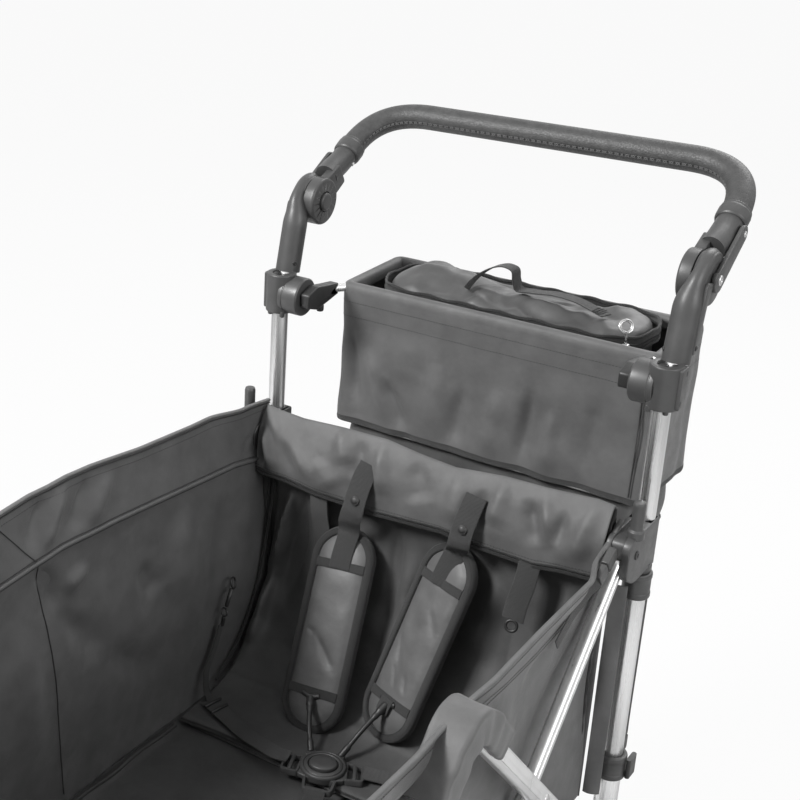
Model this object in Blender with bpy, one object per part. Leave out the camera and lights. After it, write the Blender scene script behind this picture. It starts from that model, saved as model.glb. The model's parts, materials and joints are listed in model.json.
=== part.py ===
"""Folding hand-pulled wagon for children, with a push handle at one end.

Two scissor cells on each side carry a fabric tub between four telescoping posts. A push handle
with a basket stands on the rear posts, and a pull handle hangs on the front beam. X runs across
the wagon, +Y points to the push handle, +Z up. Lengths are in metres.
"""

from math import atan2, cos, pi, radians, sin

import bmesh
import bpy
from mathutils import Matrix, Vector
from mathutils.geometry import tessellate_polygon

MM = 0.001

# Clearances
GAP = 0.3 * MM
OPEN_PIVOT_CLEARANCE = 1.0 * MM
FORK_CLEARANCE = 3.5 * MM
BUTTON_TRAVEL = 3.0 * MM

# Shading
SMOOTH_ANGLE = radians(35)
NEARLY_PARALLEL = 0.99

# Posts: each tube slides in the next wider one
POST_X = 260 * MM
UPRIGHT_RADIUS = 11 * MM
TUBE_WALL = 1.5 * MM
MID_RADIUS = UPRIGHT_RADIUS + GAP + TUBE_WALL
LOWER_RADIUS = MID_RADIUS + GAP + TUBE_WALL
MID_COLLAR_RADIUS = MID_RADIUS + 4 * MM
LOWER_COLLAR_RADIUS = LOWER_RADIUS + 4.5 * MM
MID_COLLAR_HEIGHT = 34 * MM
LOWER_COLLAR_HEIGHT = 33 * MM
UPRIGHT_BOTTOM_Z = 400 * MM
MID_BOTTOM_Z = 300 * MM
LOWER_COLLAR_TOP_Z = 376 * MM
FRONT_SLEEVE_TOP_Z = 480 * MM
FRONT_INNER_BOTTOM_Z = 250 * MM
STEM_BUSH_HEIGHT = 30 * MM

# Scissor linkage, two equal cells on each side
CELL_HALF_LENGTH = 208 * MM
CELL_HALF_HEIGHT = 213 * MM
BOTTOM_PIVOT_Z = 258 * MM
PIVOT_OFFSET = 53 * MM
BAR_WIDTH = 25 * MM
BAR_THICKNESS = 13 * MM
BAR_SPACING = 3.5 * MM
INNER_BAR_X = 256 * MM
PIN_RADIUS = 4 * MM
PIN_HEAD_RADIUS = 7 * MM
PIN_HEAD_HEIGHT = 1.8 * MM
BOSS_RADIUS = 9.5 * MM

# Pivot brackets on the posts
BRACKET_FRONT = 24 * MM
BRACKET_BACK = 19 * MM
BRACKET_CHEEK = 6.2 * MM
BRACKET_OUTER_X = 285.5 * MM
REAR_TOP_OUTER_X = 272.5 * MM
REAR_TOP_BACK = 13 * MM
SLOT_BACK = 17 * MM
TOP_BRACKET_ABOVE = 24 * MM
TOP_BRACKET_BELOW = 39 * MM
BASE_BRACKET_HALF = 24 * MM
NECK_RADIUS = 13.5 * MM
NECK_HEIGHT = 7.5 * MM
PEG_RADIUS = 7 * MM
PEG_HEIGHT = 44 * MM
PEG_SINK = 3 * MM

# Rear wheels and axle
REAR_WHEEL_RADIUS = 130 * MM
REAR_TYRE_DEPTH = 20 * MM
REAR_TYRE_WIDTH = 42 * MM
REAR_WHEEL_X = 313 * MM
AXLE_RADIUS = 7 * MM
AXLE_CAP_RADIUS = 13 * MM
AXLE_CAP_HEIGHT = 5 * MM
POST_FOOT_BELOW_AXLE = 20 * MM
SPOKES = 5
WEB_ANGLE = radians(13)
RIM_THICKNESS = 13 * MM
HUB_CORE = 12 * MM
TYRE_SHOULDER = 0.28
TYRE_EDGE = 0.35
REAR_HUB_SETBACK = 5 * MM
WHEEL_STEPS = 36

# Brake bar on the rear axle
BRAKE_HALF_WIDTH = 112 * MM
BRAKE_REACH = 58 * MM
BRAKE_ARM_RADIUS = 13 * MM
BRAKE_ARM_WIDTH = 12 * MM
BRAKE_PEDAL_RADIUS = 8 * MM

# Front casters
FRONT_WHEEL_RADIUS = 90 * MM
FRONT_TYRE_DEPTH = 17 * MM
FRONT_TYRE_WIDTH = 36 * MM
CASTER_TRAIL = 35 * MM
CASTER_CLEARANCE = 7 * MM
CASTER_CROWN = 18 * MM
FORK_ARM = 5.5 * MM
FORK_ARM_RADIUS = 15 * MM
STEM_RADIUS = 8 * MM
FRONT_AXLE_RADIUS = 5 * MM
FRONT_HUB_SETBACK = 2 * MM
CROWN_CORNER = 6 * MM

# Front beam and pull handle
BEAM_HEIGHT = 27 * MM
BEAM_DEPTH = 24 * MM
LUG_REACH = 23 * MM
LUG_THICKNESS = 6 * MM
PULL_LEAN = radians(6.2)
PULL_TUBE_RADIUS = 11 * MM
PULL_TUBE_LENGTH = 440 * MM
PULL_TUBE_FLOOR = 8 * MM
PULL_ROD_TOP = 520 * MM
PULL_ROD_INSIDE = 90 * MM
PULL_EYE_RADIUS = 13 * MM
PULL_GRIP_RADIUS = 12 * MM
PULL_GRIP_HALF = 62 * MM

# Push handle
CLAMP_TOP_Z = 899 * MM
CLAMP_HEIGHT = 66 * MM
CLAMP_RADIUS = 19 * MM
PUCK_Z = 870 * MM
PUCK_Y = 5 * MM
PUCK_RADIUS = 24.3 * MM
PUCK_FACE_X = 222 * MM
JOINT_Y = 72 * MM
JOINT_Z = 986 * MM
JOINT_RADIUS = 29 * MM
JOINT_INNER_X = 241.5 * MM
JOINT_SPLIT_X = 257.7 * MM
JOINT_OUTER_X = 279 * MM
JOINT_PIN_RADIUS = 6 * MM
JOINT_PIN_LENGTH = 12 * MM
LOWER_ARM_BENDS = ((0.0, 0.0), (0.0, 0.3), (0.1, 0.55), (0.33, 0.78), (0.6, 0.92), (0.94, 1.0))
ARM_EASE = 2 * MM
BUTTON_RADIUS = 10.5 * MM
BUTTON_PROUD = 3 * MM
BUTTON_LENGTH = 9 * MM
HANDLE_ANGLE = radians(30)
ARM_RADIUS = 16 * MM
RING_RADIUS = 18.5 * MM
RING_LENGTH = 20 * MM
RING_END = 112 * MM
GRIP_REACH = 187 * MM
GRIP_RADIUS = 16.5 * MM
GRIP_BEND = 62 * MM

# Basket behind the rear posts
BASKET_HALF_WIDTH = 210 * MM
BASKET_FRONT = 61 * MM
BASKET_DEPTH = 139 * MM
BASKET_FRAME_Z = 873 * MM
BASKET_FRAME_RADIUS = 6 * MM
BASKET_BOTTOM_Z = 680 * MM
BASKET_WALL = 4 * MM
POCKET_HALF_WIDTH = 196 * MM
POCKET_BOTTOM_Z = 605 * MM
POCKET_SETBACK = 12 * MM
BAG_HALF_WIDTH = 174 * MM
BAG_TOP_Z = 905 * MM
BAG_CORNER = 26 * MM

# Fabric tub and its seats
TUB_FLOOR_Z = 322 * MM
TUB_RIM_Z = 735 * MM
TUB_WALL = 8 * MM
END_WALL = 6 * MM
END_WALL_SETBACK = 39 * MM
FLOOR_THICKNESS = 23 * MM
SEAT_THICKNESS = 12 * MM
SEAT_DEPTH = 217 * MM

# Rim of each side wall, from its end to its middle: share of the way, and height against the tub's rim
LEFT_RIM = ((0, 3 * MM), (0.11, 13 * MM), (0.37, 19 * MM), (0.61, 27 * MM), (0.83, 40 * MM), (1, 43 * MM))
RIGHT_RIM = ((0, -19 * MM), (0.12, -59 * MM), (0.37, -63 * MM), (0.6, -63 * MM), (0.94, -67 * MM))

# Harness
PAD_WIDTH = 84 * MM
PAD_THICKNESS = 10 * MM
PAD_LENGTH = 256 * MM
PAD_TOP_Z = 604 * MM
PAD_LEFT_X = -97 * MM
PAD_RIGHT_X = 42 * MM
BUCKLE_X = -15 * MM
BUCKLE_REACH = 195 * MM
BUCKLE_WIDTH = 96 * MM
BUCKLE_DEPTH = 60 * MM
BUCKLE_HEIGHT = 20 * MM
BUCKLE_CORNER = 12 * MM
BUCKLE_BUTTON_RADIUS = 11 * MM
BUCKLE_BUTTON_HEIGHT = 9 * MM

# Latches on the lower collars
LATCH_THICKNESS = 6 * MM
LATCH_LENGTH = 17 * MM
LATCH_SETBACK = 3 * MM

# Places along the wagon, measured from the middle of its outline
POST_SPACING = 4 * CELL_HALF_LENGTH + 2 * PIVOT_OFFSET
REAR_OVERHANG = JOINT_Y + GRIP_REACH * cos(HANDLE_ANGLE) + GRIP_RADIUS
FRONT_OVERHANG = max(
    FRONT_WHEEL_RADIUS - CASTER_TRAIL,
    BEAM_DEPTH / 2 + LUG_REACH + PULL_EYE_RADIUS,
)
REAR_Y = (POST_SPACING + FRONT_OVERHANG - REAR_OVERHANG) / 2
FRONT_Y = REAR_Y - POST_SPACING
TOP_PIVOT_Z = BOTTOM_PIVOT_Z + 2 * CELL_HALF_HEIGHT
TOP_BRACKET_TOP = TOP_PIVOT_Z + TOP_BRACKET_ABOVE
TOP_BRACKET_BOTTOM = TOP_PIVOT_Z - TOP_BRACKET_BELOW
MID_TOP_Z = TOP_BRACKET_BOTTOM - NECK_HEIGHT - GAP
OUTER_BAR_X = INNER_BAR_X + BAR_THICKNESS + BAR_SPACING
BRACKET_INNER_X = INNER_BAR_X - BAR_THICKNESS / 2 - GAP - BRACKET_CHEEK
TUB_OUTER_X = BRACKET_INNER_X - GAP
TUB_INNER_X = TUB_OUTER_X - TUB_WALL
SEAT_TOP_Z = TUB_FLOOR_Z + FLOOR_THICKNESS + SEAT_THICKNESS
REAR_WALL_FACE = REAR_Y - END_WALL_SETBACK - END_WALL
FRONT_WALL_FACE = FRONT_Y + END_WALL_SETBACK + END_WALL

DARK_PLASTIC = ("dark_plastic", (0.08, 0.082, 0.084), 0.35, 0.42)
ALUMINIUM = ("aluminium", (0.80, 0.80, 0.80), 1.0, 0.28)
FABRIC = ("fabric", (0.10, 0.10, 0.105), 0.0, 0.75)
LEATHER = ("leather", (0.06, 0.06, 0.062), 0.0, 0.5)
RUBBER = ("rubber", (0.03, 0.03, 0.03), 0.0, 0.85)
SIDES = (("left", -1), ("right", 1))


def clear_scene():
    for old in list(bpy.data.objects):
        bpy.data.objects.remove(old, do_unlink=True)


def material(kind):
    """Principled material of one kind, made once."""
    name, colour, metallic, roughness = kind
    found = bpy.data.materials.get(name)
    if found:
        return found
    made = bpy.data.materials.new(name)
    made.use_nodes = True
    shader = made.node_tree.nodes["Principled BSDF"]
    shader.inputs["Base Color"].default_value = (*colour, 1)
    shader.inputs["Metallic"].default_value = metallic
    shader.inputs["Roughness"].default_value = roughness
    made.diffuse_color = (*colour, 1)
    return made


def add_object(name, shape, kind, origin=(0, 0, 0)):
    """Closed mesh object from (points, faces) in world places, with its origin at origin."""
    points, faces = shape
    start = Vector(origin)
    mesh = bpy.data.meshes.new(name)
    mesh.from_pydata([Vector(p) - start for p in points], [], faces)
    cleaner = bmesh.new()
    cleaner.from_mesh(mesh)
    bmesh.ops.recalc_face_normals(cleaner, faces=cleaner.faces)
    cleaner.to_mesh(mesh)
    cleaner.free()
    mesh.shade_smooth()
    mesh.set_sharp_from_angle(angle=SMOOTH_ANGLE)
    mesh.materials.append(material(kind))
    made = bpy.data.objects.new(name, mesh)
    made.location = start
    bpy.context.collection.objects.link(made)
    return made


def combine(target, shape, operation):
    """Boolean of a hidden helper body onto the target."""
    helper = add_object(f"{target.name}_{operation.lower()}", shape, DARK_PLASTIC)
    helper.hide_render = True
    helper.display_type = "WIRE"
    change = target.modifiers.new(helper.name, "BOOLEAN")
    change.operation = operation
    change.solver = "EXACT"
    change.object = helper


def join(target, *shapes):
    for shape in shapes:
        combine(target, shape, "UNION")


def cut(target, *shapes):
    for shape in shapes:
        combine(target, shape, "DIFFERENCE")


def frame_along(direction, side=(1, 0, 0)):
    """Matrix whose third axis is the direction and whose first lies near side."""
    w = Vector(direction).normalized()
    u = Vector(side)
    if abs(u.dot(w)) > NEARLY_PARALLEL:
        u = Vector((0, 1, 0))
    u = (u - w * u.dot(w)).normalized()
    return Matrix((u, w.cross(u), w)).transposed()


def turned(profile, base, direction, segments=20):
    """Body turned round an axis: profile is a closed ring of (radius, height)."""
    turn = frame_along(direction)
    points, rings, faces = [], [], []
    for radius, height in profile:
        ring = []
        steps = segments if radius > 0 else 1
        for i in range(steps):
            angle = 2 * pi * i / segments
            place = turn @ Vector((radius * cos(angle), radius * sin(angle), height))
            ring.append(len(points))
            points.append(Vector(base) + place)
        rings.append(ring)
    for a, b in zip(rings, rings[1:] + rings[:1]):
        for i in range(segments):
            j = (i + 1) % segments
            corners = [a[i % len(a)], a[j % len(a)], b[j % len(b)], b[i % len(b)]]
            face = list(dict.fromkeys(corners))
            if len(face) > 2:
                faces.append(face)
    return points, faces


def pipe(outer, inner, low, high, x, y, segments=20):
    """Upright open tube between two heights."""
    profile = [(outer, low), (outer, high), (inner, high), (inner, low)]
    return turned(profile, (x, y, 0), (0, 0, 1), segments)


def rod(radius, start, end, segments=16):
    """Solid round bar between two points."""
    axis = Vector(end) - Vector(start)
    profile = [(0, 0), (radius, 0), (radius, axis.length), (0, axis.length)]
    return turned(profile, start, axis, segments)


def extruded(outline, holes, place, low, high):
    """Outline with holes, both in (u, v), pushed from low to high along w by place(u, v, w)."""
    loops = [outline, *holes]
    flat = [point for loop in loops for point in loop]
    count = len(flat)
    points = [Vector(place(u, v, w)) for w in (low, high) for u, v in flat]
    caps = tessellate_polygon([[Vector((u, v, 0)) for u, v in loop] for loop in loops])
    faces = [list(cap) for cap in caps]
    faces += [[i + count for i in reversed(cap)] for cap in caps]
    start = 0
    for loop in loops:
        size = len(loop)
        for i in range(size):
            a, b = start + i, start + (i + 1) % size
            faces.append([a, b, b + count, a + count])
        start += size
    return points, faces


def along_x(u, v, w):
    return (w, u, v)


def along_z(u, v, w):
    return (u, v, w)


def circle(u, v, radius, steps=14):
    return [
        (u + radius * cos(2 * pi * i / steps), v + radius * sin(2 * pi * i / steps))
        for i in range(steps)
    ]


def arc(u, v, radius, start, end, steps):
    return [
        (
            u + radius * cos(start + (end - start) * i / steps),
            v + radius * sin(start + (end - start) * i / steps),
        )
        for i in range(steps + 1)
    ]


def rounded(u0, u1, v0, v1, radius, steps=4):
    """Rectangle with round corners."""
    corners = (
        (u1 - radius, v1 - radius, 0),
        (u0 + radius, v1 - radius, pi / 2),
        (u0 + radius, v0 + radius, pi),
        (u1 - radius, v0 + radius, 3 * pi / 2),
    )
    return [p for u, v, a in corners for p in arc(u, v, radius, a, a + pi / 2, steps)]


def stadium(start, end, radius, steps=7):
    """Outline of a bar with round ends between two points."""
    angle = atan2(end[1] - start[1], end[0] - start[0])
    far = arc(*end, radius, angle - pi / 2, angle + pi / 2, steps)
    near = arc(*start, radius, angle + pi / 2, angle + 3 * pi / 2, steps)
    return far + near


def box(x0, x1, y0, y1, z0, z1):
    return extruded([(x0, y0), (x1, y0), (x1, y1), (x0, y1)], [], along_z, z0, z1)


def swept(path, sections, side=(1, 0, 0)):
    """Rings of (u, v) points carried along a path, with u kept near side."""
    points, faces = [], []
    count = len(sections[0])
    for i, centre in enumerate(path):
        before = Vector(path[max(i - 1, 0)])
        after = Vector(path[min(i + 1, len(path) - 1)])
        turn = frame_along(after - before, side)
        points += [Vector(centre) + turn @ Vector((u, v, 0)) for u, v in sections[i]]
    for ring in range(len(path) - 1):
        for i in range(count):
            a = ring * count + i
            b = ring * count + (i + 1) % count
            faces.append([a, b, b + count, a + count])
    faces.append(list(range(count)))
    faces.append([len(points) - count + i for i in range(count)])
    return points, faces


def oval(half_u, half_v, steps=14):
    return [(half_u * cos(2 * pi * i / steps), half_v * sin(2 * pi * i / steps)) for i in range(steps)]


def make_posts():
    """Telescoping rear posts and front posts."""
    for name, side in SIDES:
        x = side * POST_X
        inner = UPRIGHT_RADIUS - TUBE_WALL
        shape = pipe(UPRIGHT_RADIUS, inner, UPRIGHT_BOTTOM_Z, CLAMP_TOP_Z, x, REAR_Y)
        add_object(f"upright_{name}", shape, ALUMINIUM, (x, REAR_Y, UPRIGHT_BOTTOM_Z))
        make_mid_post(name, x)
        make_rear_lower_post(name, side)
        make_front_lower_post(name, side)
        make_front_inner_post(name, x)


def make_mid_post(name, x):
    bore = UPRIGHT_RADIUS + GAP
    shoulder = MID_TOP_Z - MID_COLLAR_HEIGHT
    profile = [
        (MID_RADIUS, MID_BOTTOM_Z),
        (MID_RADIUS, shoulder),
        (MID_COLLAR_RADIUS, shoulder),
        (MID_COLLAR_RADIUS, MID_TOP_Z),
        (bore, MID_TOP_Z),
        (bore, MID_BOTTOM_Z),
    ]
    shape = turned(profile, (x, REAR_Y, 0), (0, 0, 1))
    add_object(f"mid_post_{name}", shape, ALUMINIUM, (x, REAR_Y, MID_BOTTOM_Z))


def make_rear_lower_post(name, side):
    """Widest tube with its collar, the base bracket and the hole for the axle."""
    x = side * POST_X
    bore = MID_RADIUS + GAP
    foot = REAR_WHEEL_RADIUS - POST_FOOT_BELOW_AXLE
    shoulder = LOWER_COLLAR_TOP_Z - LOWER_COLLAR_HEIGHT
    profile = [
        (LOWER_RADIUS, foot),
        (LOWER_RADIUS, shoulder),
        (LOWER_COLLAR_RADIUS, shoulder),
        (LOWER_COLLAR_RADIUS, LOWER_COLLAR_TOP_Z),
        (bore, LOWER_COLLAR_TOP_Z),
        (bore, foot),
    ]
    shape = turned(profile, (x, REAR_Y, 0), (0, 0, 1))
    post = add_object(f"lower_post_rear_{name}", shape, ALUMINIUM, (x, REAR_Y, foot))
    join(post, *bracket_shapes(side, -1, OUTER_BAR_X, BOTTOM_PIVOT_Z, bore + TUBE_WALL / 2))
    start = (x - 2 * LOWER_RADIUS, REAR_Y, REAR_WHEEL_RADIUS)
    end = (x + 2 * LOWER_RADIUS, REAR_Y, REAR_WHEEL_RADIUS)
    cut(post, rod(AXLE_RADIUS + GAP, start, end))


def make_front_lower_post(name, side):
    """Front sleeve with its collar, the stem bush and the base bracket."""
    x = side * POST_X
    bore = MID_RADIUS + GAP
    foot = caster_top() + GAP
    bush = foot + STEM_BUSH_HEIGHT
    shoulder = FRONT_SLEEVE_TOP_Z - LOWER_COLLAR_HEIGHT
    profile = [
        (LOWER_RADIUS, foot),
        (LOWER_RADIUS, shoulder),
        (LOWER_COLLAR_RADIUS, shoulder),
        (LOWER_COLLAR_RADIUS, FRONT_SLEEVE_TOP_Z),
        (bore, FRONT_SLEEVE_TOP_Z),
        (bore, bush),
        (STEM_RADIUS + GAP, bush),
        (STEM_RADIUS + GAP, foot),
    ]
    shape = turned(profile, (x, FRONT_Y, 0), (0, 0, 1))
    post = add_object(f"lower_post_front_{name}", shape, ALUMINIUM, (x, FRONT_Y, foot))
    join(post, *bracket_shapes(side, 1, INNER_BAR_X, BOTTOM_PIVOT_Z, bore + TUBE_WALL / 2))


def make_front_inner_post(name, x):
    inner = MID_RADIUS - TUBE_WALL
    top = TOP_BRACKET_TOP - GAP
    profile = [
        (MID_RADIUS, FRONT_INNER_BOTTOM_Z),
        (MID_RADIUS, top),
        (0, top),
        (0, top - TUBE_WALL),
        (inner, top - TUBE_WALL),
        (inner, FRONT_INNER_BOTTOM_Z),
    ]
    shape = turned(profile, (x, FRONT_Y, 0), (0, 0, 1))
    add_object(f"inner_post_front_{name}", shape, ALUMINIUM, (x, FRONT_Y, top))


def bracket_plan(side, toward, bar_x, bore, outer_x=BRACKET_OUTER_X, behind=BRACKET_BACK):
    """Plan of a bracket: a block round the post, with a slot for one bar."""
    post_y = REAR_Y if toward < 0 else FRONT_Y
    pivot_y = post_y + toward * PIVOT_OFFSET
    back = post_y - toward * behind
    front = pivot_y + toward * BRACKET_FRONT
    slot_end = pivot_y - toward * SLOT_BACK
    slot_in = bar_x - BAR_THICKNESS / 2 - GAP
    slot_out = bar_x + BAR_THICKNESS / 2 + GAP
    outline = [
        (side * BRACKET_INNER_X, back),
        (side * outer_x, back),
        (side * outer_x, front),
        (side * slot_out, front),
        (side * slot_out, slot_end),
        (side * slot_in, slot_end),
        (side * slot_in, front),
        (side * BRACKET_INNER_X, front),
    ]
    return outline, circle(side * POST_X, post_y, bore, 20), pivot_y


def bracket_shapes(side, toward, bar_x, pivot_z, bore):
    """Base bracket and the pin across its slot."""
    outline, hole, pivot_y = bracket_plan(side, toward, bar_x, bore)
    low, high = pivot_z - BASE_BRACKET_HALF, pivot_z + BASE_BRACKET_HALF
    block = extruded(outline, [hole], along_z, low, high)
    return block, bracket_pin(side, pivot_y, pivot_z, BRACKET_OUTER_X)


def bracket_pin(side, pivot_y, pivot_z, outer_x):
    start = (side * (BRACKET_INNER_X + BRACKET_CHEEK / 3), pivot_y, pivot_z)
    end = (side * (outer_x + PIN_HEAD_HEIGHT), pivot_y, pivot_z)
    return rod(PIN_RADIUS, start, end)


def make_top_brackets():
    """Top brackets: the rear ones carry a neck and a canopy peg, the front ones are plain."""
    for name, side in SIDES:
        outline, hole, pivot_y = bracket_plan(
            side, -1, INNER_BAR_X, UPRIGHT_RADIUS + GAP, REAR_TOP_OUTER_X, REAR_TOP_BACK
        )
        shape = extruded(outline, [hole], along_z, TOP_BRACKET_BOTTOM, TOP_BRACKET_TOP)
        origin = (side * INNER_BAR_X, pivot_y, TOP_PIVOT_Z)
        bracket = add_object(f"top_bracket_rear_{name}", shape, DARK_PLASTIC, origin)
        neck_low = TOP_BRACKET_BOTTOM - NECK_HEIGHT
        neck_high = TOP_BRACKET_BOTTOM + NECK_HEIGHT
        neck_bore = UPRIGHT_RADIUS + GAP
        neck = pipe(NECK_RADIUS, neck_bore, neck_low, neck_high, side * POST_X, REAR_Y)
        peg_x = side * (INNER_BAR_X + BAR_THICKNESS / 2 + GAP + PEG_RADIUS)
        peg_low = (peg_x, pivot_y, TOP_BRACKET_TOP - PEG_SINK)
        peg_high = (peg_x, pivot_y, TOP_BRACKET_TOP + PEG_HEIGHT)
        pin = bracket_pin(side, pivot_y, TOP_PIVOT_Z, REAR_TOP_OUTER_X)
        join(bracket, pin, neck, rod(PEG_RADIUS, peg_low, peg_high))

        outline, hole, pivot_y = bracket_plan(side, 1, OUTER_BAR_X, MID_RADIUS + GAP)
        shape = extruded(outline, [hole], along_z, TOP_BRACKET_BOTTOM, TOP_BRACKET_TOP)
        origin = (side * OUTER_BAR_X, pivot_y, TOP_PIVOT_Z)
        bracket = add_object(f"top_bracket_front_{name}", shape, DARK_PLASTIC, origin)
        join(bracket, bracket_pin(side, pivot_y, TOP_PIVOT_Z, BRACKET_OUTER_X))


def linkage():
    """Places of the pivots as (y, z): rear, middle and front, with the two crossings."""
    rear = REAR_Y - PIVOT_OFFSET
    middle = rear - 2 * CELL_HALF_LENGTH
    front = rear - 4 * CELL_HALF_LENGTH
    half_z = BOTTOM_PIVOT_Z + CELL_HALF_HEIGHT
    return {
        "rear_top": (rear, TOP_PIVOT_Z),
        "rear_bottom": (rear, BOTTOM_PIVOT_Z),
        "middle_top": (middle, TOP_PIVOT_Z),
        "middle_bottom": (middle, BOTTOM_PIVOT_Z),
        "front_top": (front, TOP_PIVOT_Z),
        "front_bottom": (front, BOTTOM_PIVOT_Z),
        "rear_cross": (rear - CELL_HALF_LENGTH, half_z),
        "front_cross": (middle - CELL_HALF_LENGTH, half_z),
    }


def make_bar(name, side, plane, start, end, holes, pins, origin):
    """One scissor bar: holes are (place, radius), pins stand out towards the outer bar."""
    low = plane - BAR_THICKNESS / 2
    high = plane + BAR_THICKNESS / 2
    outline = stadium(start, end, BAR_WIDTH / 2)
    drilled = [circle(*place, radius) for place, radius in holes]
    shape = extruded(outline, drilled, along_x, side * low, side * high)
    bar = add_object(name, shape, ALUMINIUM, (side * plane, *origin))
    for place in pins:
        join(bar, *pin_shapes(side, high, place))


def pin_shapes(side, face, place):
    """Spacer boss, and the pin through the outer bar with its head."""
    sink = BAR_THICKNESS / 2
    boss_end = face + BAR_SPACING - GAP
    outer_face = face + BAR_SPACING + BAR_THICKNESS
    head_end = outer_face + GAP + PIN_HEAD_HEIGHT
    profile = [
        (0, -sink),
        (BOSS_RADIUS, -sink),
        (BOSS_RADIUS, boss_end - face),
        (PIN_RADIUS, boss_end - face),
        (PIN_RADIUS, outer_face + GAP - face),
        (PIN_HEAD_RADIUS, outer_face + GAP - face),
        (PIN_HEAD_RADIUS, head_end - face),
        (0, head_end - face),
    ]
    return (turned(profile, (side * face, *place), (side, 0, 0), 14),)


def make_scissors():
    spots = linkage()
    snug = PIN_RADIUS + GAP
    loose = PIN_RADIUS + OPEN_PIVOT_CLEARANCE
    for name, side in SIDES:
        rear_top, rear_bottom = spots["rear_top"], spots["rear_bottom"]
        middle_top, middle_bottom = spots["middle_top"], spots["middle_bottom"]
        front_top, front_bottom = spots["front_top"], spots["front_bottom"]
        rear_cross, front_cross = spots["rear_cross"], spots["front_cross"]
        make_bar(
            f"rising_bar_rear_{name}", side, OUTER_BAR_X, rear_bottom, middle_top,
            [(rear_bottom, snug), (rear_cross, snug), (middle_top, snug)], [], rear_bottom,
        )
        make_bar(
            f"falling_bar_rear_{name}", side, INNER_BAR_X, rear_top, middle_bottom,
            [(rear_top, snug)], [rear_cross, middle_bottom], rear_cross,
        )
        make_bar(
            f"falling_bar_front_{name}", side, INNER_BAR_X, middle_top, front_bottom,
            [(front_bottom, snug)], [middle_top, front_cross], middle_top,
        )
        make_bar(
            f"rising_bar_front_{name}", side, OUTER_BAR_X, middle_bottom, front_top,
            [(middle_bottom, loose), (front_cross, snug), (front_top, snug)], [], front_cross,
        )


def wheel_shapes(radius, depth, width, bore, centre, hub_width):
    """Tyre and spoked hub round an axis along X."""
    x, y, z = centre
    seat = radius - depth
    edge = radius - depth * TYRE_EDGE
    shoulder = width * TYRE_SHOULDER
    tyre = [
        (seat, -width / 2 + shoulder / 2),
        (edge, -width / 2),
        (radius, -shoulder),
        (radius, shoulder),
        (edge, width / 2),
        (seat, width / 2 - shoulder / 2),
    ]
    rim = seat - GAP
    rim_inner = rim - RIM_THICKNESS
    core = bore + HUB_CORE
    inner_web = WEB_ANGLE * rim_inner / core / 4
    windows = []
    for i in range(SPOKES):
        start = 2 * pi * i / SPOKES + WEB_ANGLE / 2
        end = 2 * pi * (i + 1) / SPOKES - WEB_ANGLE / 2
        outer = arc(y, z, rim_inner, start, end, 5)
        inner = arc(y, z, core, end - inner_web, start + inner_web, 2)
        windows.append(outer + inner)
    holes = [circle(y, z, bore), *windows]
    half = hub_width / 2
    hub = extruded(circle(y, z, rim, WHEEL_STEPS), holes, along_x, x - half, x + half)
    return turned(tyre, centre, (1, 0, 0), WHEEL_STEPS), hub


def make_rear_wheels():
    z = REAR_WHEEL_RADIUS
    bore = AXLE_RADIUS + GAP
    for name, side in SIDES:
        centre = (side * REAR_WHEEL_X, REAR_Y, z)
        hub_width = REAR_TYRE_WIDTH - 2 * REAR_HUB_SETBACK
        tyre, hub = wheel_shapes(
            REAR_WHEEL_RADIUS, REAR_TYRE_DEPTH, REAR_TYRE_WIDTH, bore, centre, hub_width
        )
        add_object(f"rear_tyre_{name}", tyre, RUBBER, centre)
        add_object(f"rear_hub_{name}", hub, DARK_PLASTIC, centre)
    face = REAR_WHEEL_X + REAR_TYRE_WIDTH / 2 - REAR_HUB_SETBACK + GAP
    profile = [
        (0, -face - AXLE_CAP_HEIGHT),
        (AXLE_CAP_RADIUS, -face - AXLE_CAP_HEIGHT),
        (AXLE_CAP_RADIUS, -face),
        (AXLE_RADIUS, -face),
        (AXLE_RADIUS, face),
        (AXLE_CAP_RADIUS, face),
        (AXLE_CAP_RADIUS, face + AXLE_CAP_HEIGHT),
        (0, face + AXLE_CAP_HEIGHT),
    ]
    shape = turned(profile, (0, REAR_Y, z), (1, 0, 0), 20)
    add_object("rear_axle", shape, ALUMINIUM, (0, REAR_Y, z))


def make_brake_bar():
    """Foot bar that turns on the rear axle, on two arms."""
    z = REAR_WHEEL_RADIUS
    pedal_y = REAR_Y + BRAKE_REACH
    start = (-BRAKE_HALF_WIDTH, pedal_y, z)
    end = (BRAKE_HALF_WIDTH, pedal_y, z)
    bar = add_object("brake_bar", rod(BRAKE_PEDAL_RADIUS, start, end), DARK_PLASTIC, (0, REAR_Y, z))
    for _, side in SIDES:
        outer = side * (BRAKE_HALF_WIDTH - BRAKE_ARM_WIDTH)
        inner = outer - side * BRAKE_ARM_WIDTH
        arm = stadium((REAR_Y, z), (pedal_y, z), BRAKE_ARM_RADIUS)
        hole = circle(REAR_Y, z, AXLE_RADIUS + GAP)
        join(bar, extruded(arm, [hole], along_x, inner, outer))


def caster_top():
    """Height of the fork's crown, which the front post stands on."""
    return 2 * FRONT_WHEEL_RADIUS + CASTER_CLEARANCE + CASTER_CROWN


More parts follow.
